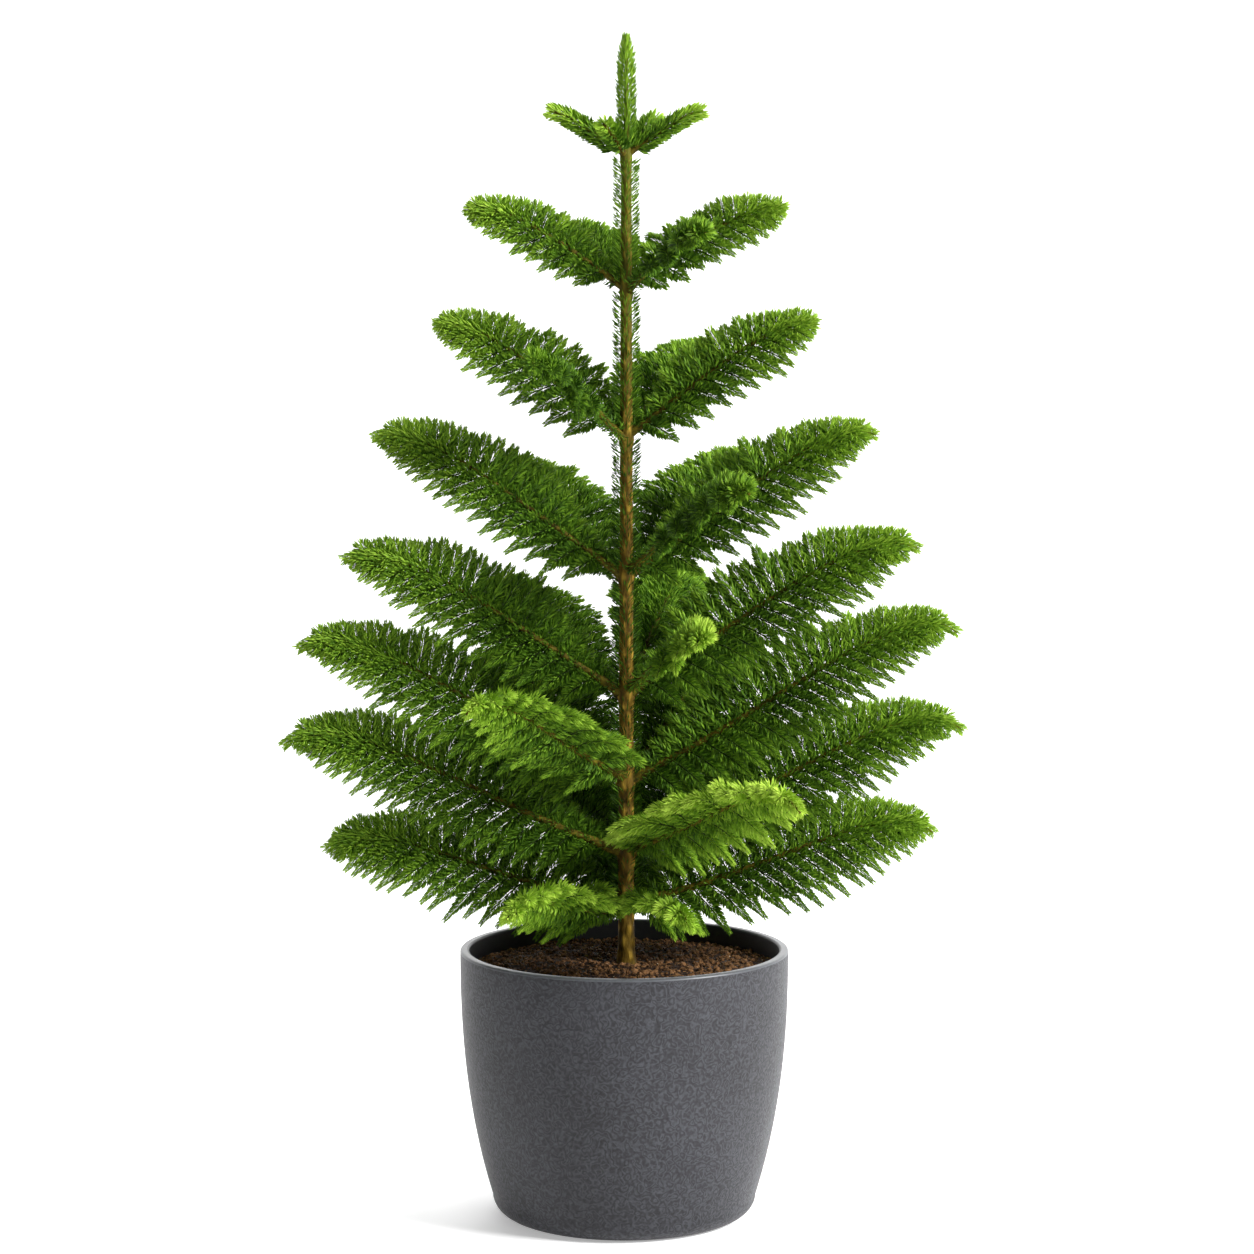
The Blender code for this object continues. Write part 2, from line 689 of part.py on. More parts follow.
def leader_needle(height, angle, tip_radius, tip_height, collection):
    """One thick needle that stands out of the leader's sleeve."""
    out = Vector((math.cos(angle), math.sin(angle), 0.0))
    wide = Vector((-math.sin(angle), math.cos(angle), 0.0))
    foot_radius = trunk_radius(height) + LEADER_CLEARANCE + NEEDLE_DEPTH_SHARE * LEADER_SLEEVE_WALL
    foot = Vector((TRUNK_X, 0.0, height)) + out * foot_radius
    lip = out * (NEEDLE_LIP_SHARE * LEADER_SLEEVE_WALL) - Vector((0, 0, NEEDLE_WIDTH / 2))
    points = [foot + wide * (NEEDLE_WIDTH / 2), foot - wide * (NEEDLE_WIDTH / 2), foot + lip]
    points.append(Vector((TRUNK_X, 0.0, tip_height)) + out * tip_radius)
    needle = new_object("needle", points, [(0, 1, 2), (0, 3, 1), (1, 3, 2), (2, 3, 0)], collection)
    form = bmesh.new()
    form.from_mesh(needle.data)
    bmesh.ops.recalc_face_normals(form, faces=form.faces)
    form.to_mesh(needle.data)
    form.free()
    return needle


def make_leader():
    """The leading shoot's needles, round the trunk's tip and clear of it."""
    core = ring_solid("foliage_leader", leader_sleeve())
    collection = new_collection("leader_needles")
    low = LEADER_FOOT + SPRAY_MARGIN
    span = LEADER_SLEEVE_TOP - SPRAY_MARGIN - low
    for number in range(LEADER_NEEDLES):
        share = number / (LEADER_NEEDLES - 1)
        height = low + span * share
        reach = LEADER_REACH * (1.0 - LEADER_NARROWING * share)
        tip = height + LEADER_NEEDLE_RISE
        leader_needle(height, number * GOLDEN_ANGLE, reach, tip, collection)
    for number in range(CROWN_NEEDLES):
        angle = math.tau * number / CROWN_NEEDLES
        height = LEADER_SLEEVE_TOP - SHOOT_OVERLAP
        tip = PLANT_TOP - CROWN_NEEDLE_STEP * number
        leader_needle(height, angle, CROWN_NEEDLE_REACH, tip, collection)
    fuse(core, collection)
    return core


def make_masses(boughs, fixed):
    """One mass of foliage for each bough, each grown clear of the others."""
    stems = {}
    for bough in boughs:
        stems[bough.name] = tube(f"foliage_{bough.name}", stem_rings(bough))
    trees = {name: [tree_of(stem)] for name, stem in stems.items()}
    solid = [tree_of(obj) for obj in fixed]
    for bough in boughs:
        core = stems[bough.name]
        collection = new_collection(f"sprays_{bough.name}")
        others = solid + [tree for name in trees if name != bough.name for tree in trees[name]]
        blades = grow_sprays(bough, collection, others)
        shoot = grow_shoot(bough, collection)
        trees[bough.name] += [tree_of(blade) for blade in blades + [shoot]]
        fuse(core, collection)
        dress(core, "foliage")


def main():
    """Build the pot, the soil and the plant."""
    clear_scene()
    pot = turned("pot", pot_profile(), POT_SIDES)
    soil = turned("soil", soil_profile(), POT_SIDES)
    trunk = make_trunk()
    leader = make_leader()
    boughs = [Bough(tier, index) for tier in TIERS for index in range(len(tier.boughs))]
    limbs = [make_limb(bough) for bough in boughs if bough.has_limb]
    make_masses(boughs, [pot, soil, trunk, leader] + limbs)
    dress(pot, "pot")
    dress(soil, "soil")
    dress(trunk, "trunk")
    dress(leader, "foliage")
    for limb in limbs:
        dress(limb, "bough")


if __name__ == "__main__":
    main()
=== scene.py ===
"""Looks of a potted Norfolk Island pine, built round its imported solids.

Metres, +Z up, with the origin at the centre of the pot's flat underside. The camera looks along
+Y, with +X to its right. The boughs follow the same rule as the solids do, and are carried on
here to single twigs and needles.
"""
from __future__ import annotations

import logging
import math
import random
from collections.abc import Iterator
from dataclasses import dataclass, field
from enum import Enum

import bmesh
import bpy
from mathutils import Matrix, Vector, noise

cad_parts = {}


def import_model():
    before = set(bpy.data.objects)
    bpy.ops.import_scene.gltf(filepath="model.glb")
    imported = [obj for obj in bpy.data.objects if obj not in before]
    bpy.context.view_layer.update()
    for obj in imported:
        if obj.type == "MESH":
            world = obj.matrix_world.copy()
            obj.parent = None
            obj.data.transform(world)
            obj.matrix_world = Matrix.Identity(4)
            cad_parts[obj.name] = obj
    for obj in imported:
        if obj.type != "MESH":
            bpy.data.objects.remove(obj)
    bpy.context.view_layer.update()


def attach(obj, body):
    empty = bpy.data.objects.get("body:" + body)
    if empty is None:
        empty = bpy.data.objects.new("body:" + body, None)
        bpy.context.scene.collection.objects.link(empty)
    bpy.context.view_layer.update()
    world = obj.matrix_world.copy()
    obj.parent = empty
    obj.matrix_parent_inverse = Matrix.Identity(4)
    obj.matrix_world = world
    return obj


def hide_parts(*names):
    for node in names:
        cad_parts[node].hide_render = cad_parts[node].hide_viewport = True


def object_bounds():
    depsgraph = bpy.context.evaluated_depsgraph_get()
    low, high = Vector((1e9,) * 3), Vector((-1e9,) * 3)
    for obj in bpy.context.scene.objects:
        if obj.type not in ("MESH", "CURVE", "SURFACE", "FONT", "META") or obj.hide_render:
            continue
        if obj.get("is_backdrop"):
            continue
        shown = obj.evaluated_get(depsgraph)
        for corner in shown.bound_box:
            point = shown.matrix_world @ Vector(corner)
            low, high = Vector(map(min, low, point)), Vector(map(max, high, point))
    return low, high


LOG = logging.getLogger("pine")
TRUNK_X = 0.0018
GOLDEN_ANGLE = math.radians(137.508)
# Slanted cushions of the bark, in radians for each metre of height
BARK_WAVES = math.tau / 0.024
# The same cushions, counted round the trunk
BARK_CUSHIONS = 4.0
FRONT = Vector((0.0, -1.0, 0.0))

Colour = tuple[float, float, float]
Place = tuple[float, float, float]
Line = tuple[tuple[float, float], ...]


def pigment(red: int, green: int, blue: int) -> Colour:
    """Linear colour of a paint chip given in 0 to 255.

    Args:
        red: Red, 0 to 255.
        green: Green, 0 to 255.
        blue: Blue, 0 to 255.

    Returns:
        The three linear parts, 0 to 1.
    """
    def part(value: int) -> float:
        """One part, from display to linear."""
        share = value / 255.0
        return share / 12.92 if share <= 0.04045 else ((share + 0.055) / 1.055) ** 2.4
    return part(red), part(green), part(blue)


def blend(low: float, high: float, share: float) -> float:
    """Value between two others at a share of the way."""
    return low + (high - low) * share


def smooth(low: float, high: float, value: float) -> float:
    """Soft step from 0 at low to 1 at high."""
    share = min(1.0, max(0.0, (value - low) / (high - low)))
    return share * share * (3.0 - 2.0 * share)


def follow(line: Line, place: float) -> float:
    """Value of a broken line at a place.

    Args:
        line: Places and values, in order of place.
        place: Where to read it.

    Returns:
        The value.
    """
    for (low, first), (high, second) in zip(line, line[1:]):
        if place <= high:
            return blend(first, second, max(0.0, (place - low) / (high - low)))
    return line[-1][1]


def quarter(steps: int) -> list[float]:
    """Angles that fill a quarter turn in equal steps, without the first."""
    return [step / steps * math.pi / 2 for step in range(1, steps + 1)]


def show(name: str, data: bpy.types.ID) -> bpy.types.Object:
    """Put a new object in the scene, at the origin.

    Args:
        name: The object's name.
        data: Its mesh, camera or light.

    Returns:
        The object.
    """
    made = bpy.data.objects.new(name, data)
    bpy.context.scene.collection.objects.link(made)
    return made


def active(sockets: bpy.types.bpy_prop_collection, key: str | int) -> bpy.types.NodeSocket:
    """Socket of a number, or the first of a name that the node's settings leave in use.

    Args:
        sockets: A node's inputs or outputs.
        key: Number or name.

    Returns:
        The socket.
    """
    if isinstance(key, int):
        return sockets[key]
    return next(socket for socket in sockets if socket.name == key and socket.enabled)


class Slot(Enum):
    """Material slots of the record."""

    TRUNK_BARK = "trunk_bark"
    BOUGH_BARK = "bough_bark"
    NEEDLES = "needles"
    POT_STONE = "pot_stone"
    SOIL = "soil"


# Node trees


class Wire:
    """A number socket that takes part in Python arithmetic by adding Math nodes."""

    def __init__(self, graph: Graph, socket: bpy.types.NodeSocket) -> None:
        """Wrap a socket of a graph."""
        self.graph = graph
        self.socket = socket

    def _math(self, operation: str, first: object, second: object = 0.0) -> Wire:
        """Add one Math node.

        Args:
            operation: The node's operation.
            first: Wire or number of the first socket.
            second: Wire or number of the second socket.

        Returns:
            The node's result.
        """
        made = self.graph.node("ShaderNodeMath", {"operation": operation}, {0: first, 1: second})
        return Wire(self.graph, made.outputs[0])

    def __add__(self, other: object) -> Wire:
        """Sum."""
        return self._math("ADD", self, other)

    def __radd__(self, other: object) -> Wire:
        """Reflected sum."""
        return self._math("ADD", other, self)

    def __sub__(self, other: object) -> Wire:
        """Difference."""
        return self._math("SUBTRACT", self, other)

    def __rsub__(self, other: object) -> Wire:
        """Reflected difference."""
        return self._math("SUBTRACT", other, self)

    def __mul__(self, other: object) -> Wire:
        """Product."""
        return self._math("MULTIPLY", self, other)

    def __rmul__(self, other: object) -> Wire:
        """Reflected product."""
        return self._math("MULTIPLY", other, self)

    def __pow__(self, other: object) -> Wire:
        """Power."""
        return self._math("POWER", self, other)

    def __rpow__(self, other: object) -> Wire:
        """Reflected power."""
        return self._math("POWER", other, self)

    def sine(self) -> Wire:
        """Sine of an angle in radians."""
        return self._math("SINE", self)

    def angle(self, other: object) -> Wire:
        """Angle of the point whose ordinate is this and whose abscissa is the other."""
        return self._math("ARCTAN2", self, other)

    def rounded(self) -> Wire:
        """Nearest whole number."""
        return self._math("ROUND", self)

    def at_least(self, limit: float) -> Wire:
        """The larger of this and a limit."""
        return self._math("MAXIMUM", self, limit)

    def at_most(self, limit: float) -> Wire:
        """The smaller of this and a limit."""
        return self._math("MINIMUM", self, limit)


class Graph:
    """A node tree with one method that adds any node."""

    def __init__(self, tree: bpy.types.NodeTree) -> None:
        """Wrap a node tree."""
        self.tree = tree

    def feed(self, socket: bpy.types.NodeSocket, value: object) -> None:
        """Set a socket's value or link it.

        Args:
            socket: An input socket.
            value: Wire, output socket, colour of three parts, or a plain value.
        """
        if isinstance(value, Wire):
            value = value.socket
        if isinstance(value, bpy.types.NodeSocket):
            self.tree.links.new(value, socket)
        elif socket.type == "RGBA":
            socket.default_value = (*value[:3], 1.0)
        else:
            socket.default_value = value

    def node(self, kind: str, settings: dict[str, object] | None = None,
             sockets: dict[str | int, object] | None = None) -> bpy.types.Node:
        """Add a node.

        Args:
            kind: The node's type.
            settings: Its own settings, with a ramp's colours under "stops".
            sockets: Values or links of its inputs, by name or number.

        Returns:
            The node.
        """
        made = self.tree.nodes.new(kind)
        for key, value in (settings or {}).items():
            if key == "stops":
                ramp = made.color_ramp
                while len(ramp.elements) < len(value):
                    ramp.elements.new(0.5)
                for element, (place, colour) in zip(ramp.elements, value):
                    element.position = place
                    element.color = (*colour, 1.0)
            else:
                setattr(made, key, value)
        for key, value in (sockets or {}).items():
            self.feed(active(made.inputs, key), value)
        return made

    def wire(self, node: bpy.types.Node, output: str | int = 0) -> Wire:
        """A node's output as a wire."""
        return Wire(self, active(node.outputs, output))


class Finish(Graph):
    """A Principled material that is built node by node."""

    def __init__(self, name: str) -> None:
        """Start a material.

        Args:
            name: The material's name.
        """
        self.material = bpy.data.materials.new(name)
        self.material.use_nodes = True
        super().__init__(self.material.node_tree)
        self.shader = self.tree.nodes["Principled BSDF"]
        self._place: bpy.types.NodeSocket | None = None

    @property
    def place(self) -> bpy.types.NodeSocket:
        """Object coordinates.

        Returns:
            The socket, from one node that all patterns share.
        """
        if self._place is None:
            self._place = self.node("ShaderNodeTexCoord").outputs["Object"]
        return self._place

    def stretched(self, scale: Place) -> bpy.types.NodeSocket:
        """Object coordinates times a scale for each axis."""
        sockets = {"Vector": self.place, "Scale": scale}
        return self.node("ShaderNodeMapping", {}, sockets).outputs[0]

    def grain(self, scale: float, detail: float = 3.0, rough: float = 0.5,
              vector: bpy.types.NodeSocket | None = None, distortion: float = 0.0) -> Wire:
        """Noise between 0 and 1.

        Args:
            scale: Cells in a metre.
            detail: Octaves.
            rough: Share of each finer octave.
            vector: Place, or None for Object coordinates.
            distortion: How far the noise bends itself.

        Returns:
            The noise.
        """
        sockets = {"Vector": vector or self.place, "Scale": scale, "Detail": detail,
                   "Roughness": rough, "Distortion": distortion}
        return self.wire(self.node("ShaderNodeTexNoise", {}, sockets))

    def ramp(self, factor: Wire, *stops: tuple[float, Colour]) -> bpy.types.NodeSocket:
        """Colours along a factor."""
        return self.node("ShaderNodeValToRGB", {"stops": stops}, {0: factor}).outputs[0]

    def mix(self, factor: object, first: object, second: object) -> bpy.types.NodeSocket:
        """Two colours mixed by a factor."""
        settings = {"data_type": "RGBA", "clamp_factor": True}
        return self.node("ShaderNodeMix", settings, {0: factor, 6: first, 7: second}).outputs[2]

    def span(self, value: Wire, low: float, high: float) -> Wire:
        """A value's part between two limits, as 0 to 1."""
        sockets = {"Value": value, "From Min": low, "From Max": high}
        return self.wire(self.node("ShaderNodeMapRange", {"clamp": True}, sockets))

    def set(self, **values: object) -> None:
        """Set sockets of the shader, whose names have underscores for spaces."""
        for key, value in values.items():
            self.feed(self.shader.inputs[key.replace("_", " ")], value)

    def relief(self, height: Wire, distance: float, strength: float) -> None:
        """Bend the shading by a height.

        Args:
            height: Height, 0 to 1.
            distance: Metres that a height of 1 stands for.
            strength: Share of the effect.
        """
        sockets = {"Height": height, "Distance": distance, "Strength": strength}
        self.set(Normal=self.node("ShaderNodeBump", {}, sockets).outputs[0])


# Attributes that only the trees of nodes need
SKELETON_FIELDS = ("tint", "stem", "size", "dense", "shade", "lean", "part", "blade")


class Growth(Graph):
    """A Geometry Nodes tree with named inputs."""

    KINDS = {float: "NodeSocketFloat", int: "NodeSocketInt", bpy.types.Object: "NodeSocketObject",
             bpy.types.Material: "NodeSocketMaterial"}

    def __init__(self, name: str) -> None:
        """Start a tree that takes and gives a geometry.

        Args:
            name: The tree's name.
        """
        super().__init__(bpy.data.node_groups.new(name, "GeometryNodeTree"))
        face = self.tree.interface
        face.new_socket("Geometry", in_out="INPUT", socket_type="NodeSocketGeometry")
        face.new_socket("Geometry", in_out="OUTPUT", socket_type="NodeSocketGeometry")
        self.entry = self.node("NodeGroupInput")
        self.exit = self.node("NodeGroupOutput")
        self.values: dict[str, object] = {}

    def knob(self, name: str, value: object) -> bpy.types.NodeSocket:
        """Add a named input.

        Args:
            name: The input's name.
            value: The value that each use of the tree sets.

        Returns:
            Its socket inside the tree.
        """
        kind = next(k for base, k in self.KINDS.items() if isinstance(value, base))
        made = self.tree.interface.new_socket(name, in_out="INPUT", socket_type=kind)
        self.values[made.identifier] = value
        return next(s for s in self.entry.outputs if s.identifier == made.identifier)

    def attribute(self, name: str, kind: str = "FLOAT") -> Wire:
        """A named attribute of the geometry."""
        settings = {"data_type": kind}
        return self.wire(self.node("GeometryNodeInputNamedAttribute", settings, {"Name": name}))

    def chance(self, low: float, high: float, seed: bpy.types.NodeSocket, step: int) -> Wire:
        """A random number for each point.

        Args:
            low: Least value.
            high: Greatest value.
            seed: The tree's seed.
            step: Added to the seed, so that no two numbers are alike.

        Returns:
            The number.
        """
        made = self.node("FunctionNodeRandomValue", {"data_type": "FLOAT"}, {
            "Min": low, "Max": high, "ID": self.node("GeometryNodeInputIndex").outputs[0],
            "Seed": Wire(self, seed) + float(step)})
        return self.wire(made, "Value")

    def copies(self, points: bpy.types.NodeSocket, helper: bpy.types.NodeSocket,
               rotation: bpy.types.NodeSocket, scale: Wire,
               selection: object = True) -> bpy.types.NodeSocket:
        """Put copies of a helper on points and make them real.

        Args:
            points: The points.
            helper: Input that holds the helper object.
            rotation: Turn of each copy.
            scale: Size of each copy.
            selection: Which points take one.

        Returns:
            The copies as one mesh.
        """
        info = self.node("GeometryNodeObjectInfo", {}, {"Object": helper})
        size = self.node("ShaderNodeCombineXYZ", {}, {0: scale, 1: scale, 2: scale})
        made = self.node("GeometryNodeInstanceOnPoints", {}, {
            "Points": points, "Selection": selection, "Instance": info.outputs["Geometry"],
            "Rotation": rotation, "Scale": size.outputs[0]})
        return self.node("GeometryNodeRealizeInstances", {}, {0: made.outputs[0]}).outputs[0]

    def dress(self, solid: bpy.types.NodeSocket, material: bpy.types.NodeSocket,
              selection: object = True) -> bpy.types.NodeSocket:
        """Give a material to a mesh, or to its selected faces."""
        sockets = {"Geometry": solid, "Selection": selection, "Material": material}
        return self.node("GeometryNodeSetMaterial", {}, sockets).outputs[0]

    def end(self, solid: bpy.types.NodeSocket) -> Growth:
        """Give a mesh as the tree's result."""
        self.feed(self.exit.inputs[0], solid)
        return self

    def grow(self, obj: bpy.types.Object) -> bpy.types.Object:
        """Run the tree on an object and keep the result as a plain mesh.

        Args:
            obj: The object that holds the skeleton or the surface.

        Returns:
            The same object, with the grown mesh and no modifier.
        """
        modifier = obj.modifiers.new(self.tree.name, "NODES")
        modifier.node_group = self.tree
        for identifier, value in self.values.items():
            modifier[identifier] = value
        graph = bpy.context.evaluated_depsgraph_get()
        grown = bpy.data.meshes.new_from_object(obj.evaluated_get(graph))
        obj.modifiers.clear()
        before = obj.data
        obj.data = grown
        bpy.data.meshes.remove(before)
        grown.name = obj.name
        for name in [a.name for a in grown.attributes if a.name in SKELETON_FIELDS]:
            grown.attributes.remove(grown.attributes[name])
        return obj


# Meshes


@dataclass
class Shell:
    """Points and faces that become one mesh."""

    points: list[Vector] = field(default_factory=list)
    faces: list[tuple[int, ...]] = field(default_factory=list)

    def tube(self, rings: list[list[Vector]]) -> None:
        """Add a tube through rings of equal size, with each end closed by a fan.

        Args:
            rings: Rings in order, each counter-clockwise seen against the tube's direction.
        """
        first = len(self.points)
        sides = len(rings[0])
        for ring in rings:
            self.points.extend(ring)
        for row in range(len(rings) - 1):
            low = first + row * sides
            for side in range(sides):
                after = (side + 1) % sides
                face = (low + side, low + after, low + after + sides, low + side + sides)
                self.faces.append(face)
        for row, flip in ((0, True), (len(rings) - 1, False)):
            low = first + row * sides
            hub = len(self.points)
            self.points.append(sum(rings[row], Vector()) / sides)
            for side in range(sides):
                after = (side + 1) % sides
                pair = (low + after, low + side) if flip else (low + side, low + after)
                self.faces.append((*pair, hub))

    def mesh(self, name: str) -> bpy.types.Mesh:
        """Make the mesh, shaded smooth.

        Args:
            name: The mesh's name.

        Returns:
            The mesh.
        """
        made = bpy.data.meshes.new(name)
        made.from_pydata([tuple(p) for p in self.points], [], self.faces)
        made.update()
        made.shade_smooth()
        return made

    def build(self, name: str, finish: bpy.types.Material) -> bpy.types.Object:
        """Make the object.

        Args:
            name: The object's name.
            finish: Its material.

        Returns:
            The object, in the scene.
        """
        mesh = self.mesh(name)
        mesh.materials.append(finish)
        return show(name, mesh)


@dataclass(frozen=True)
class Bud:
    """One point of a twig, with what it needs to grow its needles.

    tint is 0 for the deepest green and 1 for the newest, and also carries painted light and shade,
    stem the twig's radius, size the needles' share of full length, dense the share of needles that
    grow, lean their angle to the twig, blade the normal of the flat spray and part how far the
    needles crowd into its plane.
    """

    place: Vector
    tint: float
    stem: float
    size: float
    dense: float
    lean: float
    blade: Vector
    part: float = 0.0


@dataclass
class Skeleton:
    """Twigs as chains of buds."""

    buds: list[Bud] = field(default_factory=list)
    edges: list[tuple[int, int]] = field(default_factory=list)

    def chain(self, track: list[Bud]) -> None:
        """Add one twig.

        Args:
            track: Its buds, from foot to tip.
        """
        first = len(self.buds)
        self.buds += track
        self.edges += [(n, n + 1) for n in range(first, first + len(track) - 1)]

    def build(self, name: str) -> bpy.types.Object:
        """Make the object that a tree of nodes grows on.

        Args:
            name: The object's name.

        Returns:
            The object, with the buds' values as attributes of its points.
        """
        mesh = bpy.data.meshes.new(name)
        mesh.from_pydata([tuple(bud.place) for bud in self.buds], self.edges, [])
        for label in ("tint", "stem", "size", "dense", "lean", "part"):
            layer = mesh.attributes.new(label, "FLOAT", "POINT")
            layer.data.foreach_set("value", [getattr(bud, label) for bud in self.buds])
        layer = mesh.attributes.new("blade", "FLOAT_VECTOR", "POINT")
        layer.data.foreach_set("vector", [part for bud in self.buds for part in bud.blade])
        return show(name, mesh)


def keep(piece: bpy.types.Object, slot: Slot, *nodes: str) -> None:
    """Hand a finished piece to the frame.

    Args:
        piece: The piece.
        slot: The record's material slot; not used.
        nodes: CAD nodes that it stands for.
    """
    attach(piece, "root")
    if nodes:
        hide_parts(*nodes)
    count = sum(len(face.vertices) - 2 for face in piece.data.polygons)
    LOG.info("%s: %d triangles, stands for %d nodes", piece.name, count, len(nodes))


# Finishes


@dataclass(frozen=True)
class NeedleFinish:
    """One plain green of the needles."""

    name: str
    colour: Colour
    roughness: float = 0.6

    def make(self) -> bpy.types.Material:
        """Make the material.

        Returns:
            The material.
        """
        finish = Finish(self.name)
        finish.set(Base_Color=self.colour, Roughness=self.roughness, Specular_IOR_Level=0.1)
        return finish.material


@dataclass(frozen=True)
class BarkFinish:
    """Scaly bark, greener with height."""

    name: str
    crevice: Colour
    body: Colour
    crest: Colour
    young: Colour
    young_from: float
    young_full: float
    grain: float = 160.0
    fineness: float = 4.2
    drawn_out: float = 0.22
    patches: float = 38.0
    depth: float = 0.0010
    strength: float = 0.9

    def make(self) -> bpy.types.Material:
        """Make the material: slanted cushions that cross, with furrows between. The colour follows
        the
        relief: the bark's own tones, with painted shade in the furrows and a painted gold highlight
        on the crests.

        Returns:
            The material.
        """
        finish = Finish(self.name)
        long = finish.stretched((1.0, 1.0, self.drawn_out))
        split = finish.node("ShaderNodeSeparateXYZ", {}, {0: finish.place})
        across, away, up = (finish.wire(split, axis) for axis in "XYZ")
        fine = finish.grain(self.grain * self.fineness, 3.0, 0.6, long)
        coarse = finish.grain(self.grain, 4.0, 0.6, long)
        patch = finish.grain(self.patches, 2.0)
        turn = away.angle(across - TRUNK_X) * BARK_CUSHIONS + (coarse - 0.5) * 2.4
        rise = up * BARK_WAVES + (patch - 0.5) * 3.0
        scales = ((turn + rise).sine() * 0.5 + 0.5) * ((turn - rise).sine() * 0.5 + 0.5)
        height = finish.span(scales * 0.22 + coarse * 0.55 + fine * 0.35, 0.32, 0.80)
        # Colour follows the relief: crevice is partly painted shade in the furrows, crest partly a
        # painted highlight on the cushions
        bark = finish.ramp(height, (0.0, self.crevice), (0.4, self.body), (1.0, self.crest))
        green = finish.span(up + (patch - 0.5) * 0.12, self.young_from, self.young_full)
        finish.set(Base_Color=finish.mix(green * 0.75, bark, self.young), Specular_IOR_Level=0.15,
                   Roughness=0.6 + height * 0.2)
        finish.relief(height, self.depth, self.strength)
        return finish.material


@dataclass(frozen=True)
class MottledFinish:
    """A dull finish in two tones with a grain of its own."""

    name: str
    dark: Colour
    light: Colour
    grain: float
    octaves: float
    octave_share: float
    limits: tuple[float, float]
    roughness: float
    depth: float
    strength: float

    def make(self) -> bpy.types.Material:
        """Make the material.

        Returns:
            The material.
        """
        finish = Finish(self.name)
        tone = finish.span(finish.grain(self.grain, self.octaves, self.octave_share), *self.limits)
        finish.set(Base_Color=finish.ramp(tone, (0.0, self.dark), (1.0, self.light)),
                   Roughness=self.roughness, Specular_IOR_Level=0.12)
        finish.relief(tone, self.depth, self.strength)
        return finish.material


@dataclass(frozen=True)
class TwigFinish(MottledFinish):
    """Young bark of the boughs, and the green of the branchlets."""

    grain: float = 240.0
    octaves: float = 3.0
    octave_share: float = 0.6
    limits: tuple[float, float] = (0.32, 0.7)
    roughness: float = 0.65
    depth: float = 0.0006
    strength: float = 0.7


@dataclass(frozen=True)
class EarthFinish(MottledFinish):
    """Moist potting soil, or one of the bits in it."""

    grain: float = 420.0
    octaves: float = 4.0
    octave_share: float = 0.65
    limits: tuple[float, float] = (0.34, 0.68)
    roughness: float = 0.85
    depth: float = 0.0008
    strength: float = 0.8


@dataclass(frozen=True)
class StoneFinish:
    """Matt slate-grey fibre stone with a fine wrinkled grain."""

    name: str = "fibre_stone"
    deep: Colour = pigment(34, 34, 36)
    body: Colour = pigment(50, 50, 54)
    crest: Colour = pigment(67, 68, 73)
    swirl: float = 150.0
    ripples: float = 30.0
    wrinkle: float = 350.0
    cloud: float = 9.0
    depth: float = 0.0007
    strength: float = 0.6

    def make(self) -> bpy.types.Material:
        """Make the material.

        Returns:
            The material.
        """
        finish = Finish(self.name)
        swirl = finish.grain(self.swirl, 0.6, 0.5, distortion=0.3)
        ridge = (swirl * self.ripples).sine() * 0.5 + 0.5
        speck = finish.grain(self.wrinkle, 2.0, 0.55)
        cloud = finish.grain(self.cloud, 3.0, 0.5)
        height = ridge * 0.3 + speck * 0.7
        tone = finish.span(height * 0.75 + cloud * 0.25, 0.28, 0.72)
        colour = finish.ramp(tone, (0.0, self.deep), (0.5, self.body), (1.0, self.crest))
        finish.set(Base_Color=colour, Roughness=0.56 - height * 0.14, Specular_IOR_Level=0.25)
        finish.relief(height, self.depth, self.strength)
        return finish.material


@dataclass(frozen=True)
class GlazeFinish:
    """Dark inner wall of the pot and its smooth lip."""

    name: str
    colour: Colour
    roughness: float
    grain: float = 300.0
    shades: tuple[float, float] = (0.8, 1.2)
    depth: float = 0.0002
    strength: float = 0.5

    def make(self) -> bpy.types.Material:
        """Make the material.

        Returns:
            The material.
        """
        finish = Finish(self.name)
        speck = finish.grain(self.grain, 3.0, 0.6)
        low, high = (tuple(part * share for part in self.colour) for share in self.shades)
        finish.set(Base_Color=finish.ramp(speck, (0.25, low), (0.75, high)),
                   Roughness=self.roughness, Specular_IOR_Level=0.5)
        finish.relief(speck, self.depth, self.strength)
        return finish.material


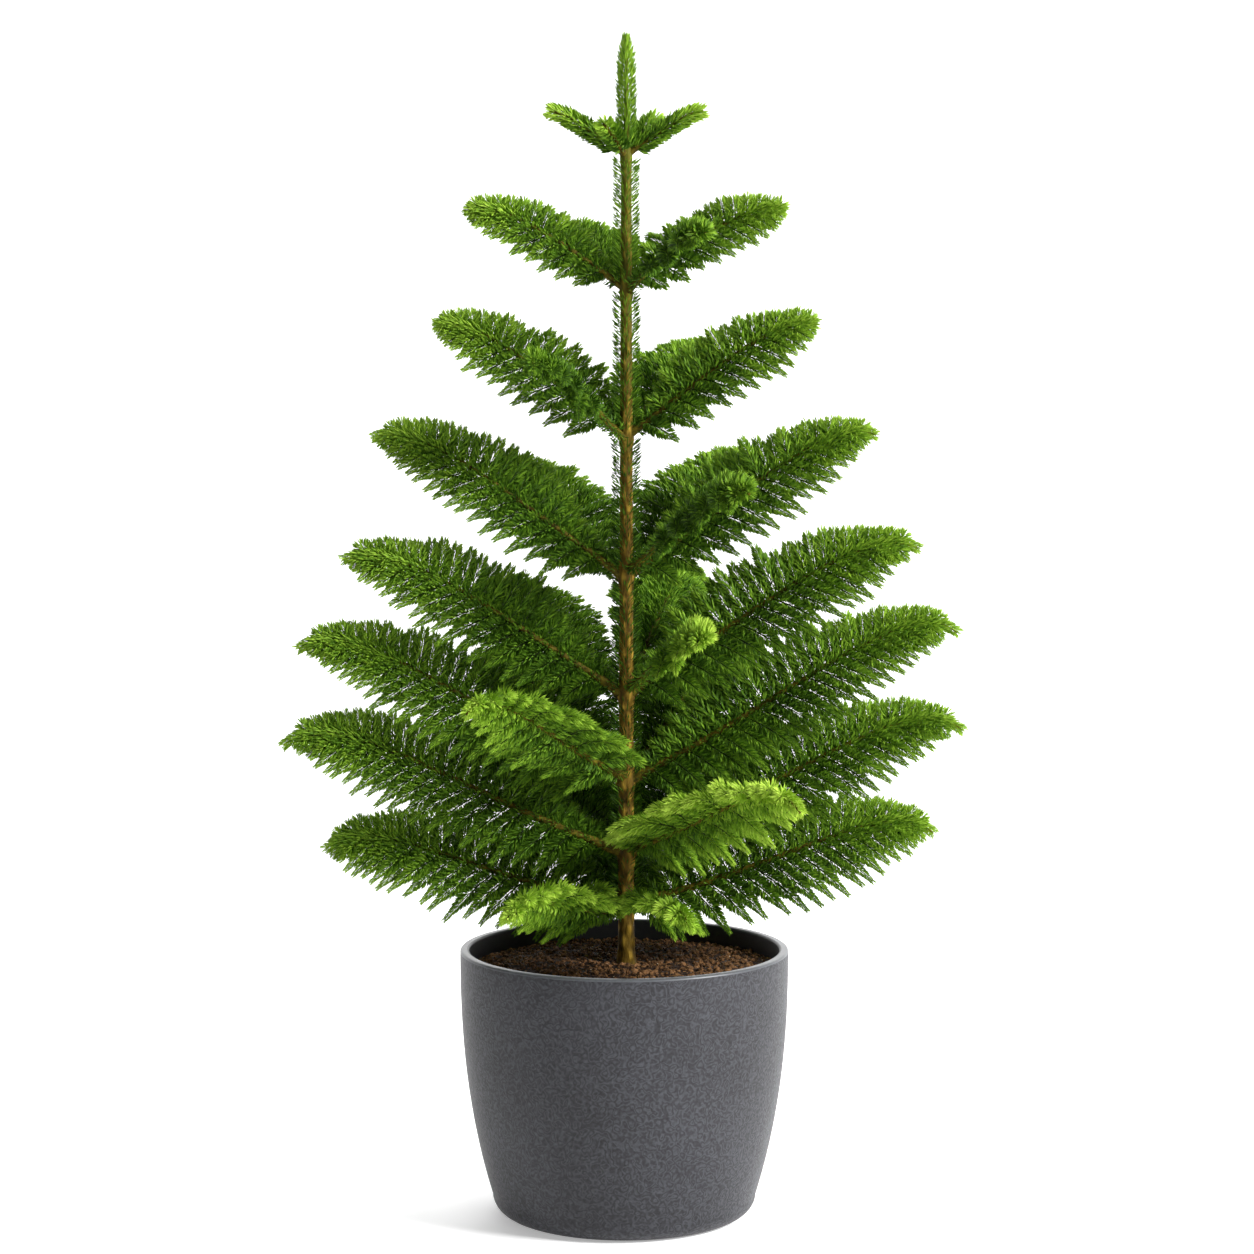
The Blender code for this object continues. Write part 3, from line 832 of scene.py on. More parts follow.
@dataclass(frozen=True)
class Palette:
    """Every finish of the plant and its pot."""

    # Greens from deep to new, dealt out by tint, which carries painted light and shade besides the
    # needles' age
    greens: tuple[NeedleFinish, ...] = (
        NeedleFinish("needle_deep", pigment(35, 60, 11)),
        NeedleFinish("needle_dark", pigment(54, 85, 17)),
        NeedleFinish("needle_forest", pigment(78, 114, 26)),
        NeedleFinish("needle_leaf", pigment(106, 143, 36)),
        NeedleFinish("needle_bright", pigment(129, 165, 46)),
        NeedleFinish("needle_fresh", pigment(149, 184, 58)),
        NeedleFinish("needle_new", pigment(168, 198, 72)),
    )
    # The trunk's crevice and crest colours hold painted shade and a painted highlight besides the
    # bark's own tones
    trunk: BarkFinish = BarkFinish(
        "trunk_bark", pigment(54, 40, 6), pigment(98, 76, 16), pigment(170, 138, 50),
        pigment(84, 94, 20), 0.66, 1.0)
    bough: TwigFinish = TwigFinish("bough_bark", pigment(44, 38, 4), pigment(108, 97, 22))
    twig: TwigFinish = TwigFinish("twig_bark", pigment(26, 42, 8), pigment(52, 72, 18))
    stone: StoneFinish = StoneFinish()
    lining: GlazeFinish = GlazeFinish("pot_lining", pigment(30, 31, 33), 0.45)
    lip: GlazeFinish = GlazeFinish("pot_lip", pigment(78, 80, 84), 0.36)
    earth: EarthFinish = EarthFinish("earth", pigment(14, 9, 5), pigment(58, 38, 22))
    crumb: EarthFinish = EarthFinish(
        "earth_crumb", pigment(22, 14, 8), pigment(138, 100, 64), 230.0)
    coir: EarthFinish = EarthFinish(
        "coir_fibre", pigment(70, 48, 28), pigment(164, 124, 80), 300.0)
    chip: EarthFinish = EarthFinish(
        "pale_chip", pigment(166, 146, 118), pigment(222, 208, 182), 500.0)


# The plant's rule of growth


@dataclass(frozen=True)
class Tier:
    """One whorl of boughs: its height and the curve that its boughs follow.

    Each of the boughs has its azimuth in degrees, its share of the reach and of the rise, its roll
    in degrees, how fresh its green is, and the share of its length that is bare.
    """

    name: str
    height: float
    reach: float
    rise: float
    base_deg: float
    tip_deg: float
    radius: float
    spray: float
    limbs: int
    boughs: tuple[tuple[float, float, float, float, float, float], ...]
TIERS: tuple[Tier, ...] = (
    Tier("tier1", 0.9645, 0.0795, 0.0360, 33.0, -38.0, 0.0017, 0.007, 0,
         ((180, 1.03, 1.0, -50, .25, 0), (0, 1.03, 1.0, 50, .25, 0), (62, 0.92, 0.85, 30, .2, 0),
          (242, 0.70, 0.75, 25, .1, 0))),
    Tier("tier2", 0.8447, 0.1535, 0.0655, 36.0, -40.0, 0.0022, 0.031, 0,
         ((180, 1.0, 1.0, -52, .22, 0), (0, 1.0, 1.0, 52, .22, 0), (118, 0.92, 0.64, -28, .1, 0),
          (304, 0.88, 0.72, 36, -.25, .22))),
    Tier("tier3", 0.7128, 0.1835, 0.0950, 36.0, -41.0, 0.0025, 0.039, 0,
         ((180, 1.0, 1.0, -54, .12, 0), (0, 1.0, 1.0, 54, .15, 0), (60, 0.94, 0.66, 26, .05, 0),
          (236, 0.88, 0.7, -38, -.3, .22))),
    Tier("tier4", 0.5856, 0.2390, 0.1190, 33.0, -43.0, 0.0028, 0.045, 0,
         ((180, 1.0, 1.0, -54, .08, 0), (0, 0.99, 1.02, 54, .12, 0), (54, 0.90, 0.72, 26, .05, 0),
          (126, 0.92, 0.74, -26, .05, 0), (303, 0.86, 0.62, 40, -.2, .24))),
    Tier("tier5", 0.4781, 0.2700, 0.1200, 31.0, -43.0, 0.0031, 0.049, 5,
         ((180, 0.99, 0.96, -54, .04, 0), (0, 1.02, 1.05, 54, .08, 0), (74, 0.92, 0.66, 22, .05, 0),
          (127, 0.92, 0.62, -24, .05, 0), (300, 0.56, 0.44, 40, .5, .34))),
    Tier("tier6", 0.3993, 0.3080, 0.1180, 23.5, -55.0, 0.0033, 0.050, 5,
         ((180, 0.995, 0.94, -54, .02, 0), (0, 1.005, 1.07, 54, .05, 0),
          (64, 0.92, 0.78, 24, .03, 0), (121, 0.90, 0.66, -24, .03, 0),
          (237, 0.84, 0.62, 50, .3, .04))),
    Tier("tier7", 0.3330, 0.3170, 0.0950, 20.0, -58.0, 0.0034, 0.051, 5,
         ((180, 1.01, 0.93, -52, 0.0, 0), (0, 0.99, 1.08, 52, .04, 0), (58, 0.90, 0.74, 22, .02, 0),
          (123, 0.92, 0.78, -22, .02, 0), (303, 0.88, 0.60, -48, 1.0, 0))),
    Tier("tier8", 0.2868, 0.2855, 0.0470, 9.0, -58.0, 0.0034, 0.051, 4,
         ((180, 0.99, 0.84, -50, .02, 0), (0, 1.01, 1.16, 50, .06, 0), (92, 0.92, 0.9, 14, .02, 0),
          (243, 0.82, 0.34, 44, .54, 0), (290, 0.58, -0.1, -40, .4, .1))),
)


@dataclass(frozen=True)
class Row:
    """How the branchlets of one row stand on their bough.

    angles are degrees to the bough at its foot and at its tip, pitch the distance between two,
    sag their droop and profile their length along the bough. taper is what the needles lose
    toward a twig's tip from taper_from on, lean_share how much of the lean's profile they take
    up, and bright what is added to their tint, painted light that makes the upturned row lighter.
    On a young spray spray_sag stands in for sag, and spray_length and spray_young are shares of
    the length and of the fresh tint.
    """

    angles: tuple[float, float]
    pitch: float
    sag: float
    profile: Line
    taper: float
    taper_from: float
    lean_share: float
    bright: float
    spray_sag: float
    spray_length: float
    spray_young: float


@dataclass(frozen=True)
class Habit:
    """Sizes and angles of the rule that every bough grows by."""

    seed: int = 41
    curve_steps: int = 80
    base_handle: float = 0.50
    tip_handle: float = 0.25
    stem_tip: float = 0.0012
    shoot_start: float = 0.87
    shoot_cover: float = 0.25
    rising: Row = Row(
        angles=(118.0, 56.0), pitch=0.0112, sag=0.08,
        profile=((0.0, 0.98), (0.3, 1.30), (0.5, 1.20), (0.7, 0.88), (0.85, 0.60), (1.0, 0.26)),
        # bright is painted light: the upturned row is lighter than the falling one
        taper=0.46, taper_from=0.45, lean_share=0.86, bright=0.05,
        spray_sag=0.52, spray_length=1.0, spray_young=1.0)
    falling: Row = Row(
        angles=(64.0, 42.0), pitch=0.0134, sag=0.18,
        profile=((0.0, 0.78), (0.2, 1.04), (0.5, 1.26), (0.7, 1.14), (0.85, 0.84), (1.0, 0.30)),
        taper=0.72, taper_from=0.35, lean_share=1.0, bright=0.0,
        spray_sag=0.18, spray_length=0.85, spray_young=0.7)
    lean_profile: Line = ((0.0, 76.0), (0.12, 64.0), (0.45, 53.0), (0.75, 36.0), (1.0, 20.0))
    pair_offset: float = 0.22
    sector_margin: float = math.radians(2.0)
    open_sector: float = math.radians(80.0)
    stagger: tuple[float, ...] = (0.0, 0.0, 0.005, -0.005, 0.004)
    stagger_reach: float = 0.2
    crowding: float = 0.84
    front_spread: float = 0.25
    spray_spread: float = 0.75
    side_play: float = 2.6
    front_play: float = 11.0
    roll_play: float = 5.0
    first_twig: float = 0.011
    first_share: float = 0.02
    shortest_twig: float = 0.006
    twig_gap: float = 0.002
    twig_radius: float = 0.0008
    twig_step: float = 0.005
    needle_reach: float = 0.0145
    spray_fresh: float = 0.3
    spray_bare: float = 0.2
    stem_power: float = 0.8
    tangent_step: float = 0.002
    small_bough: float = 0.4
    twig_lengths: tuple[float, float] = (0.92, 1.06)


@dataclass(frozen=True)
class Twig:
    """One branchlet of a bough."""

    root: Vector
    heading: Vector
    blade: Vector
    length: float
    sag: float
    share: float
    row: Row

    def point(self, share: float) -> Vector:
        """Place at a share of the twig's length."""
        drop = Vector((0.0, 0.0, -self.sag * self.length * share * share))
        return self.root + self.heading * (self.length * share) + drop


@dataclass
class Bough:
    """One bough: a curve in its own upright plane, its radius and the room it keeps to."""

    tier: Tier
    index: int
    habit: Habit

    def __post_init__(self) -> None:
        """Work out the curve."""
        azimuth, reach, rise, roll, fresh, bare = self.tier.boughs[self.index]
        habit = self.habit
        self.name = f"{self.tier.name}_{self.index + 1}"
        self.azimuth = math.radians(azimuth)
        self.roll = math.radians(roll)
        self.fresh = fresh
        self.bare = bare
        self.outward = Vector((math.cos(self.azimuth), math.sin(self.azimuth), 0.0))
        young = fresh >= habit.spray_fresh and bare < habit.spray_bare
        self.is_spray = young and self.outward.y < 0.0 and self.tier.limbs > 0
        self.side = Vector((-math.sin(self.azimuth), math.cos(self.azimuth), 0.0))
        stagger = habit.stagger[self.index] * min(1.0, self.tier.reach / habit.stagger_reach)
        self.origin = Vector((TRUNK_X, 0.0, self.tier.height + stagger))
        self.reach = self.tier.reach * reach
        self.size = reach
        self.rise = self.tier.rise * rise
        turn = math.atan2(self.rise, self.reach) - math.atan2(self.tier.rise, self.tier.reach)
        self.base_angle = math.radians(self.tier.base_deg) + turn
        self.tip_angle = math.radians(self.tier.tip_deg)
        steps = habit.curve_steps
        self.track = [self._bezier(step / steps) for step in range(steps + 1)]
        self.marks = [0.0]
        for here, there in zip(self.track, self.track[1:]):
            self.marks.append(self.marks[-1] + (there - here).length)
        self.length = self.marks[-1]

    def _bezier(self, t: float) -> Vector:
        """Point on the bough's curve.

        Args:
            t: 0 at the trunk's axis to 1 at the bough's tip.

        Returns:
            The point.
        """
        lift = self.rise / self.reach
        base, tip = self.base_angle, self.tip_angle
        near, far = self.habit.base_handle, self.habit.tip_handle
        along = (0.0, near * math.cos(base), 1.0 - far * math.cos(tip), 1.0)
        up = (0.0, near * math.sin(base), lift - far * math.sin(tip), lift)
        weights = ((1 - t) ** 3, 3 * t * (1 - t) ** 2, 3 * t * t * (1 - t), t ** 3)
        run = self.reach * sum(w * a for w, a in zip(weights, along))
        height = self.reach * sum(w * u for w, u in zip(weights, up))
        return self.origin + self.outward * run + Vector((0.0, 0.0, height))

    def point(self, distance: float) -> Vector:
        """Point at a distance along the curve.

        Args:
            distance: Metres from the trunk's axis.

        Returns:
            The point.
        """
        distance = min(max(distance, 0.0), self.length)
        for step in range(len(self.track) - 1):
            low, high = self.marks[step:step + 2]
            if high >= distance:
                return self.track[step].lerp(self.track[step + 1], (distance - low) / (high - low))
        return self.track[-1]

    def tangent(self, distance: float) -> Vector:
        """Direction of growth at a distance along the curve.

        Args:
            distance: Metres from the trunk's axis.

        Returns:
            The direction, of unit length.
        """
        step = self.habit.tangent_step
        ahead = self.point(min(distance + step, self.length))
        return (ahead - self.point(max(min(distance, self.length) - step, 0.0))).normalized()

    def across(self, tangent: Vector, roll: float) -> Vector:
        """Direction square to the tangent, turned up from the bough's side by a roll."""
        up = tangent.cross(self.side).normalized()
        return self.side * math.cos(roll) + up * math.sin(roll)

    def radius(self, distance: float) -> float:
        """The bough's radius at a distance along the curve.

        Args:
            distance: Metres from the trunk's axis.

        Returns:
            The radius.
        """
        share = min(1.0, distance / (self.habit.shoot_start * self.length))
        base = self.tier.radius * math.sqrt(self.size)
        return base + (self.habit.stem_tip - base) * share ** self.habit.stem_power

    def sector(self, sign: float) -> float:
        """Azimuth that the bough may fill on one side, up to half-way to its neighbour.

        Args:
            sign: 1 for the side of growing azimuth, -1 for the other.

        Returns:
            The angle in radians.
        """
        turns = [(sign * (math.radians(other[0]) - self.azimuth)) % math.tau
                 for other in self.tier.boughs]
        return min(turn for turn in turns if turn > 0.01) / 2.0 - self.habit.sector_margin

    def room(self, root: Vector, heading: Vector, sign: float) -> float:
        """How long a twig may grow before it leaves the bough's own space.

        Args:
            root: The twig's foot.
            heading: Its direction.
            sign: Its side of the bough.

        Returns:
            The length, or a metre where nothing limits it.
        """
        half = self.sector(sign)
        if half > self.habit.open_sector:
            return 1.0
        flat = Vector((self.side.x, self.side.y)) * sign
        out = Vector((self.outward.x, self.outward.y))
        start = Vector((root.x - TRUNK_X, root.y))
        step = Vector((heading.x, heading.y))
        wall = math.tan(half)
        gain = step.dot(flat) - wall * step.dot(out)
        space = wall * start.dot(out) - start.dot(flat)
        return space / gain if gain > 0.0001 else 1.0

    def twigs(self) -> Iterator[Twig]:
        """Branchlets in two rows, from the trunk to the shoot.

        Yields:
            Each branchlet.
        """
        habit = self.habit
        rng = random.Random(habit.seed + 10 * TIERS.index(self.tier) + self.index)
        start = habit.first_twig + habit.first_share * self.reach + self.bare * self.length
        end = (habit.shoot_start * self.length
               + habit.shoot_cover * (1.0 - habit.shoot_start) * self.length)
        front = max(0.0, -self.outward.y)
        spread = 1.0 + front * (habit.spray_spread if self.is_spray else habit.front_spread)
        play = blend(habit.side_play, habit.front_play, front)
        roll_play = play + habit.roll_play
        for sign in (1.0, -1.0):
            row = habit.rising if sign * self.roll > 0.0 else habit.falling
            count = max(3, round((end - start) / (row.pitch * spread)))
            for number in range(count):
                order = (number + 0.5 + habit.pair_offset * sign) / count
                distance = start + (end - start) * order ** habit.crowding
                share = distance / end
                angle = math.radians(blend(*row.angles, share) + rng.uniform(-play, play))
                tangent = self.tangent(distance)
                roll = self.roll + math.radians(rng.uniform(-roll_play, roll_play))
                side = self.across(tangent, roll) * sign
                heading = (tangent * math.cos(angle) + side * math.sin(angle)).normalized()
                length = self._twig_length(share, row) * rng.uniform(*habit.twig_lengths)
                root = self.point(distance)
                length = min(length, self.room(root, heading, sign) - habit.twig_gap)
                if length < habit.shortest_twig:
                    continue
                if self.is_spray:
                    length *= row.spray_length
                sag = row.spray_sag if self.is_spray else row.sag
                blade = heading.cross(tangent).normalized()
                yield Twig(root, heading, blade, length, sag, share, row)

    def _twig_length(self, share: float, row: Row) -> float:
        """Length of a branchlet at a share of its bough."""
        size = blend(self.habit.small_bough, 1.0, self.size)
        return self.tier.spray * follow(row.profile, share) * size - self.habit.twig_gap


# Foliage


@dataclass
class NeedleCoat:
    """Needles that stand round every twig of a skeleton, grown by Geometry Nodes."""

    materials: list[bpy.types.Material]
    spacing: float = 0.00014
    length: float = 0.0102
    width: float = 0.0012
    arch: float = 0.12
    seed: int = 3
    dither: float = 1.1
    spin_play: float = 0.25
    lean_play: float = 0.12
    least: float = 0.86
    most: float = 1.12
    stem_share: float = 0.8

    def needle(self) -> bpy.types.Object:
        """One needle of unit length: a closed keeled blade, widest half-way and arched forward.

        Returns:
            The helper object, outside the scene.
        """
        half, arch = self.width / self.length / 2.0, self.arch
        points = [(0.0, 0.0, 0.0), (arch, -half, 0.6), (arch, half, 0.6), (0.0, 0.0, 1.0)]
        faces = [(0, 2, 1), (1, 2, 3), (0, 3, 2), (0, 1, 3)]
        mesh = bpy.data.meshes.new("needle")
        mesh.from_pydata(points, [], faces)
        mesh.update()
        return bpy.data.objects.new("needle", mesh)

    def turns(self, grow: Growth, tangent: bpy.types.NodeSocket,
              seed: bpy.types.NodeSocket) -> list[bpy.types.NodeSocket]:
        """Turn each needle round its twig, and then lean it out.

        Args:
            grow: The tree.
            tangent: The twig's direction.
            seed: The tree's seed.

        Returns:
            The rotation before and after the lean.
        """
        index = grow.wire(grow.node("GeometryNodeInputIndex"))
        spin = index * GOLDEN_ANGLE + grow.chance(-self.spin_play, self.spin_play, seed, 1)
        spin = spin + (spin * 2.0).sine() * grow.attribute("part")
        lean = grow.attribute("lean") + grow.chance(-self.lean_play, self.lean_play, seed, 2)
        axes = {"Primary Axis": tangent, "Secondary Axis": grow.attribute("blade", "FLOAT_VECTOR")}
        settings = {"primary_axis": "Z", "secondary_axis": "X"}
        frame = grow.node("FunctionNodeAxesToRotation", settings, axes).outputs[0]
        made = []
        for axis, angle in (((0.0, 0.0, 1.0), spin), ((0.0, 1.0, 0.0), lean)):
            turn = grow.node("FunctionNodeAxisAngleToRotation", {}, {"Axis": axis, "Angle": angle})
            frame = grow.node("FunctionNodeRotateRotation", {"rotation_space": "LOCAL"},
                              {0: frame, 1: turn.outputs[0]}).outputs[0]
            made.append(frame)
        return made

    def rule(self) -> Growth:
        """Build the tree of nodes.

        Returns:
            The tree, ready to grow on a skeleton.
        """
        grow = Growth("needle_coat")
        spacing = grow.knob("Spacing", self.spacing)
        length = grow.knob("Length", self.length)
        dither = grow.knob("Dither", self.dither)
        seed = grow.knob("Seed", self.seed)
        helper = grow.knob("Needle", self.needle())
        materials = [grow.knob(f"Green {n + 1}", m) for n, m in enumerate(self.materials)]
        last = float(len(materials) - 1)
        curve = grow.node("GeometryNodeMeshToCurve", {}, {"Mesh": grow.entry.outputs[0]})
        dots = grow.node("GeometryNodeCurveToPoints", {"mode": "LENGTH"},
                         {"Curve": curve.outputs[0], "Length": spacing})
        spun, whole = self.turns(grow, dots.outputs["Tangent"], seed)
        out = grow.node("FunctionNodeRotateVector", {},
                        {"Vector": (1.0, 0.0, 0.0), "Rotation": spun})
        offset = grow.node("ShaderNodeVectorMath", {"operation": "SCALE"},
                           {0: out.outputs[0], "Scale": grow.attribute("stem") * self.stem_share})
        shade = grow.attribute("tint") * last
        shade = shade + grow.chance(-1.0, 1.0, seed, 3) * Wire(grow, dither)
        shade = shade.rounded().at_least(0.0).at_most(last)
        settings = {"data_type": "INT", "domain": "POINT"}
        stored = grow.node("GeometryNodeStoreNamedAttribute", settings,
                           {"Geometry": dots.outputs[0], "Name": "shade", "Value": shade})
        placed = grow.node("GeometryNodeSetPosition", {},
                           {"Geometry": stored.outputs[0], "Offset": offset.outputs[0]})
        scale = grow.attribute("size") * grow.chance(self.least, self.most, seed, 4)
        there = grow.node("FunctionNodeCompare", {"data_type": "FLOAT", "operation": "LESS_THAN"},
                          {"A": grow.chance(0.0, 1.0, seed, 5), "B": grow.attribute("dense")})
        flow = grow.copies(placed.outputs[0], helper, whole, scale * Wire(grow, length),
                           there.outputs[0])
        for number, material in enumerate(materials):
            same = grow.node("FunctionNodeCompare", {"data_type": "INT", "operation": "EQUAL"},
                             {"A": grow.attribute("shade", "INT"), "B": number})
            flow = grow.dress(flow, material, same.outputs[0])
        return grow.end(flow)


@dataclass
class TwigWood:
    """Slim stems through every twig of a skeleton, grown by Geometry Nodes."""

    material: bpy.types.Material
    step: float = 0.006
    sides: int = 4

    def rule(self) -> Growth:
        """Build the tree of nodes.

        Returns:
            The tree, ready to grow on a skeleton.
        """
        grow = Growth("twig_wood")
        step = grow.knob("Step", self.step)
        sides = grow.knob("Sides", self.sides)
        material = grow.knob("Bark", self.material)
        curve = grow.node("GeometryNodeMeshToCurve", {}, {"Mesh": grow.entry.outputs[0]})
        even = grow.node("GeometryNodeResampleCurve", {"mode": "LENGTH"},
                         {"Curve": curve.outputs[0], "Length": step})
        ring = grow.node("GeometryNodeCurvePrimitiveCircle", {},
                         {"Resolution": sides, "Radius": 1.0})
        skin = grow.node("GeometryNodeCurveToMesh", {}, {
            "Curve": even.outputs[0], "Profile Curve": ring.outputs[0],
            "Scale": grow.attribute("stem"), "Fill Caps": True})
        solid = grow.node("GeometryNodeRealizeInstances", {}, {0: skin.outputs[0]})
        return grow.end(grow.dress(solid.outputs[0], material))


@dataclass
class Foliage:
    """Twigs and needles of all the boughs, in pieces of a tier or a few tiers each."""

    habit: Habit
    boughs: list[Bough]
    palette: Palette
    greens: list[bpy.types.Material]
    base_tint: float = 0.26
    outer_tint: float = 0.22
    tip_tint: float = 0.18
    high_tint: float = 0.05
    tint_play: float = 0.06
    comb_tint: float = -0.06
    young_foot: float = 0.05
    young_foot_gain: float = 0.10
    young_tip: float = 0.42
    young_tip_gain: float = 0.18
    thinning: float = 0.55
    parting: float = 0.34
    comb_start: float = 0.010
    comb_step: float = 0.006

    def tint(self, bough: Bough, share: float, along: float, row: Row) -> float:
        """Brightness of a spray, 0 deep to 1 new, with painted shade toward the trunk and painted
        light on the upturned row.

        Args:
            bough: The bough.
            share: Place of the twig along the bough, 0 to 1.
            along: Place on the twig, 0 to 1.
            row: The twig's row.

        Returns:
            The tint.
        """
        # Darker toward the trunk: older growth, and painted shade inside the crown
        tone = self.base_tint + self.outer_tint * smooth(0.4, 1.0, share)
        tone += self.tip_tint * along ** 2
        # Painted light: the upturned row of branchlets is lighter
        tone += row.bright
        foot = self.young_foot + self.young_foot_gain * share
        young = bough.fresh * (foot + (self.young_tip + self.young_tip_gain * share) * along)
        if bough.is_spray:
            young *= row.spray_young
        return tone + young + self.high_tint * smooth(0.5, 1.0, bough.tier.height)

    def twig_track(self, bough: Bough, twig: Twig, rng: random.Random) -> list[Bud]:
        """One branchlet as a chain for the skeleton.

        Args:
            bough: The bough that carries it.
            twig: The branchlet.
            rng: Random numbers of the bough.

        Returns:
            Its points with what grows on them.
        """
        habit, row = self.habit, twig.row
        steps = max(3, round(twig.length / habit.twig_step))
        shift = rng.uniform(-self.tint_play, self.tint_play)
        track = []
        for step in range(steps + 1):
            along = step / steps
            taper = row.taper * smooth(row.taper_from, 1.0, along)
            track.append(Bud(
                place=twig.point(along), tint=self.tint(bough, twig.share, along, row) + shift,
                stem=habit.twig_radius * (1.0 - self.thinning * along),
                size=blend(0.92, 1.16, smooth(0.0, 0.2, along)) - taper, dense=1.0,
                lean=math.radians(follow(habit.lean_profile, along * row.lean_share)),
                blade=twig.blade, part=self.parting))
        return track

    def stem_track(self, bough: Bough) -> list[Bud]:
        """The bough's own needles: two combs beside its wood, and all round its shoot.

        Args:
            bough: The bough.

        Returns:
            Its points with what grows on them.
        """
        track = []
        steps = max(8, round(bough.length / self.comb_step))
        end = bough.length - self.habit.needle_reach
        single = bough.tier.spray < self.habit.first_twig
        for step in range(steps + 1):
            share = step / steps
            distance = self.comb_start + (end - self.comb_start) * share
            young = 1.0 if single else smooth(0.62, 0.86, share)
            tangent = bough.tangent(distance)
            size = blend(0.9, 1.06, young) + 0.16 * single
            lean = blend(72.0, 38.0, young) + 14.0 * single * (1.0 - smooth(0.7, 1.0, share))
            track.append(Bud(
                place=bough.point(distance),
                tint=self.tint(bough, share, share, self.habit.rising) + self.comb_tint,
                stem=bough.radius(distance) * blend(1.25, 1.0, young),
                size=size * (1.0 - 0.3 * smooth(0.9, 1.0, share)), dense=blend(0.55, 1.0, young),
                lean=math.radians(lean),
                blade=tangent.cross(bough.across(tangent, bough.roll)).normalized(),
                part=0.3 if single else blend(0.44, 0.0, young)))
        return track

    def groups(self) -> dict[str, list[Bough]]:
        """Share out the boughs, so that no piece has too many faces.

        Returns:
            The boughs of each piece: the two at the sides or the inner ones, of a single tier or
            of the short upper tiers together.
        """
        made: dict[str, list[Bough]] = {}
        for bough in self.boughs:
            place = "sides" if bough.index < 2 else "inner"
            short = bough.tier.reach < self.habit.stagger_reach
            made.setdefault(f"{'upper' if short else bough.tier.name}_{place}", []).append(bough)
        return made

    def build(self) -> None:
        """Grow the twigs and needles and hand them to the frame."""
        coat = NeedleCoat(self.greens).rule()
        wood = TwigWood(self.palette.twig.make()).rule()
        for label, group in self.groups().items():
            sprigs, stems = Skeleton(), Skeleton()
            for bough in group:
                rng = random.Random(self.habit.seed * 7 + len(sprigs.buds))
                for twig in bough.twigs():
                    track = self.twig_track(bough, twig, rng)
                    sprigs.chain(track)
                    stems.chain(track)
                sprigs.chain(self.stem_track(bough))
            nodes = [f"foliage_{bough.name}" for bough in group]
            keep(coat.grow(sprigs.build(f"needles_{label}")), Slot.NEEDLES, *nodes)
            keep(wood.grow(stems.build(f"twigs_{label}")), Slot.BOUGH_BARK)


# Wood


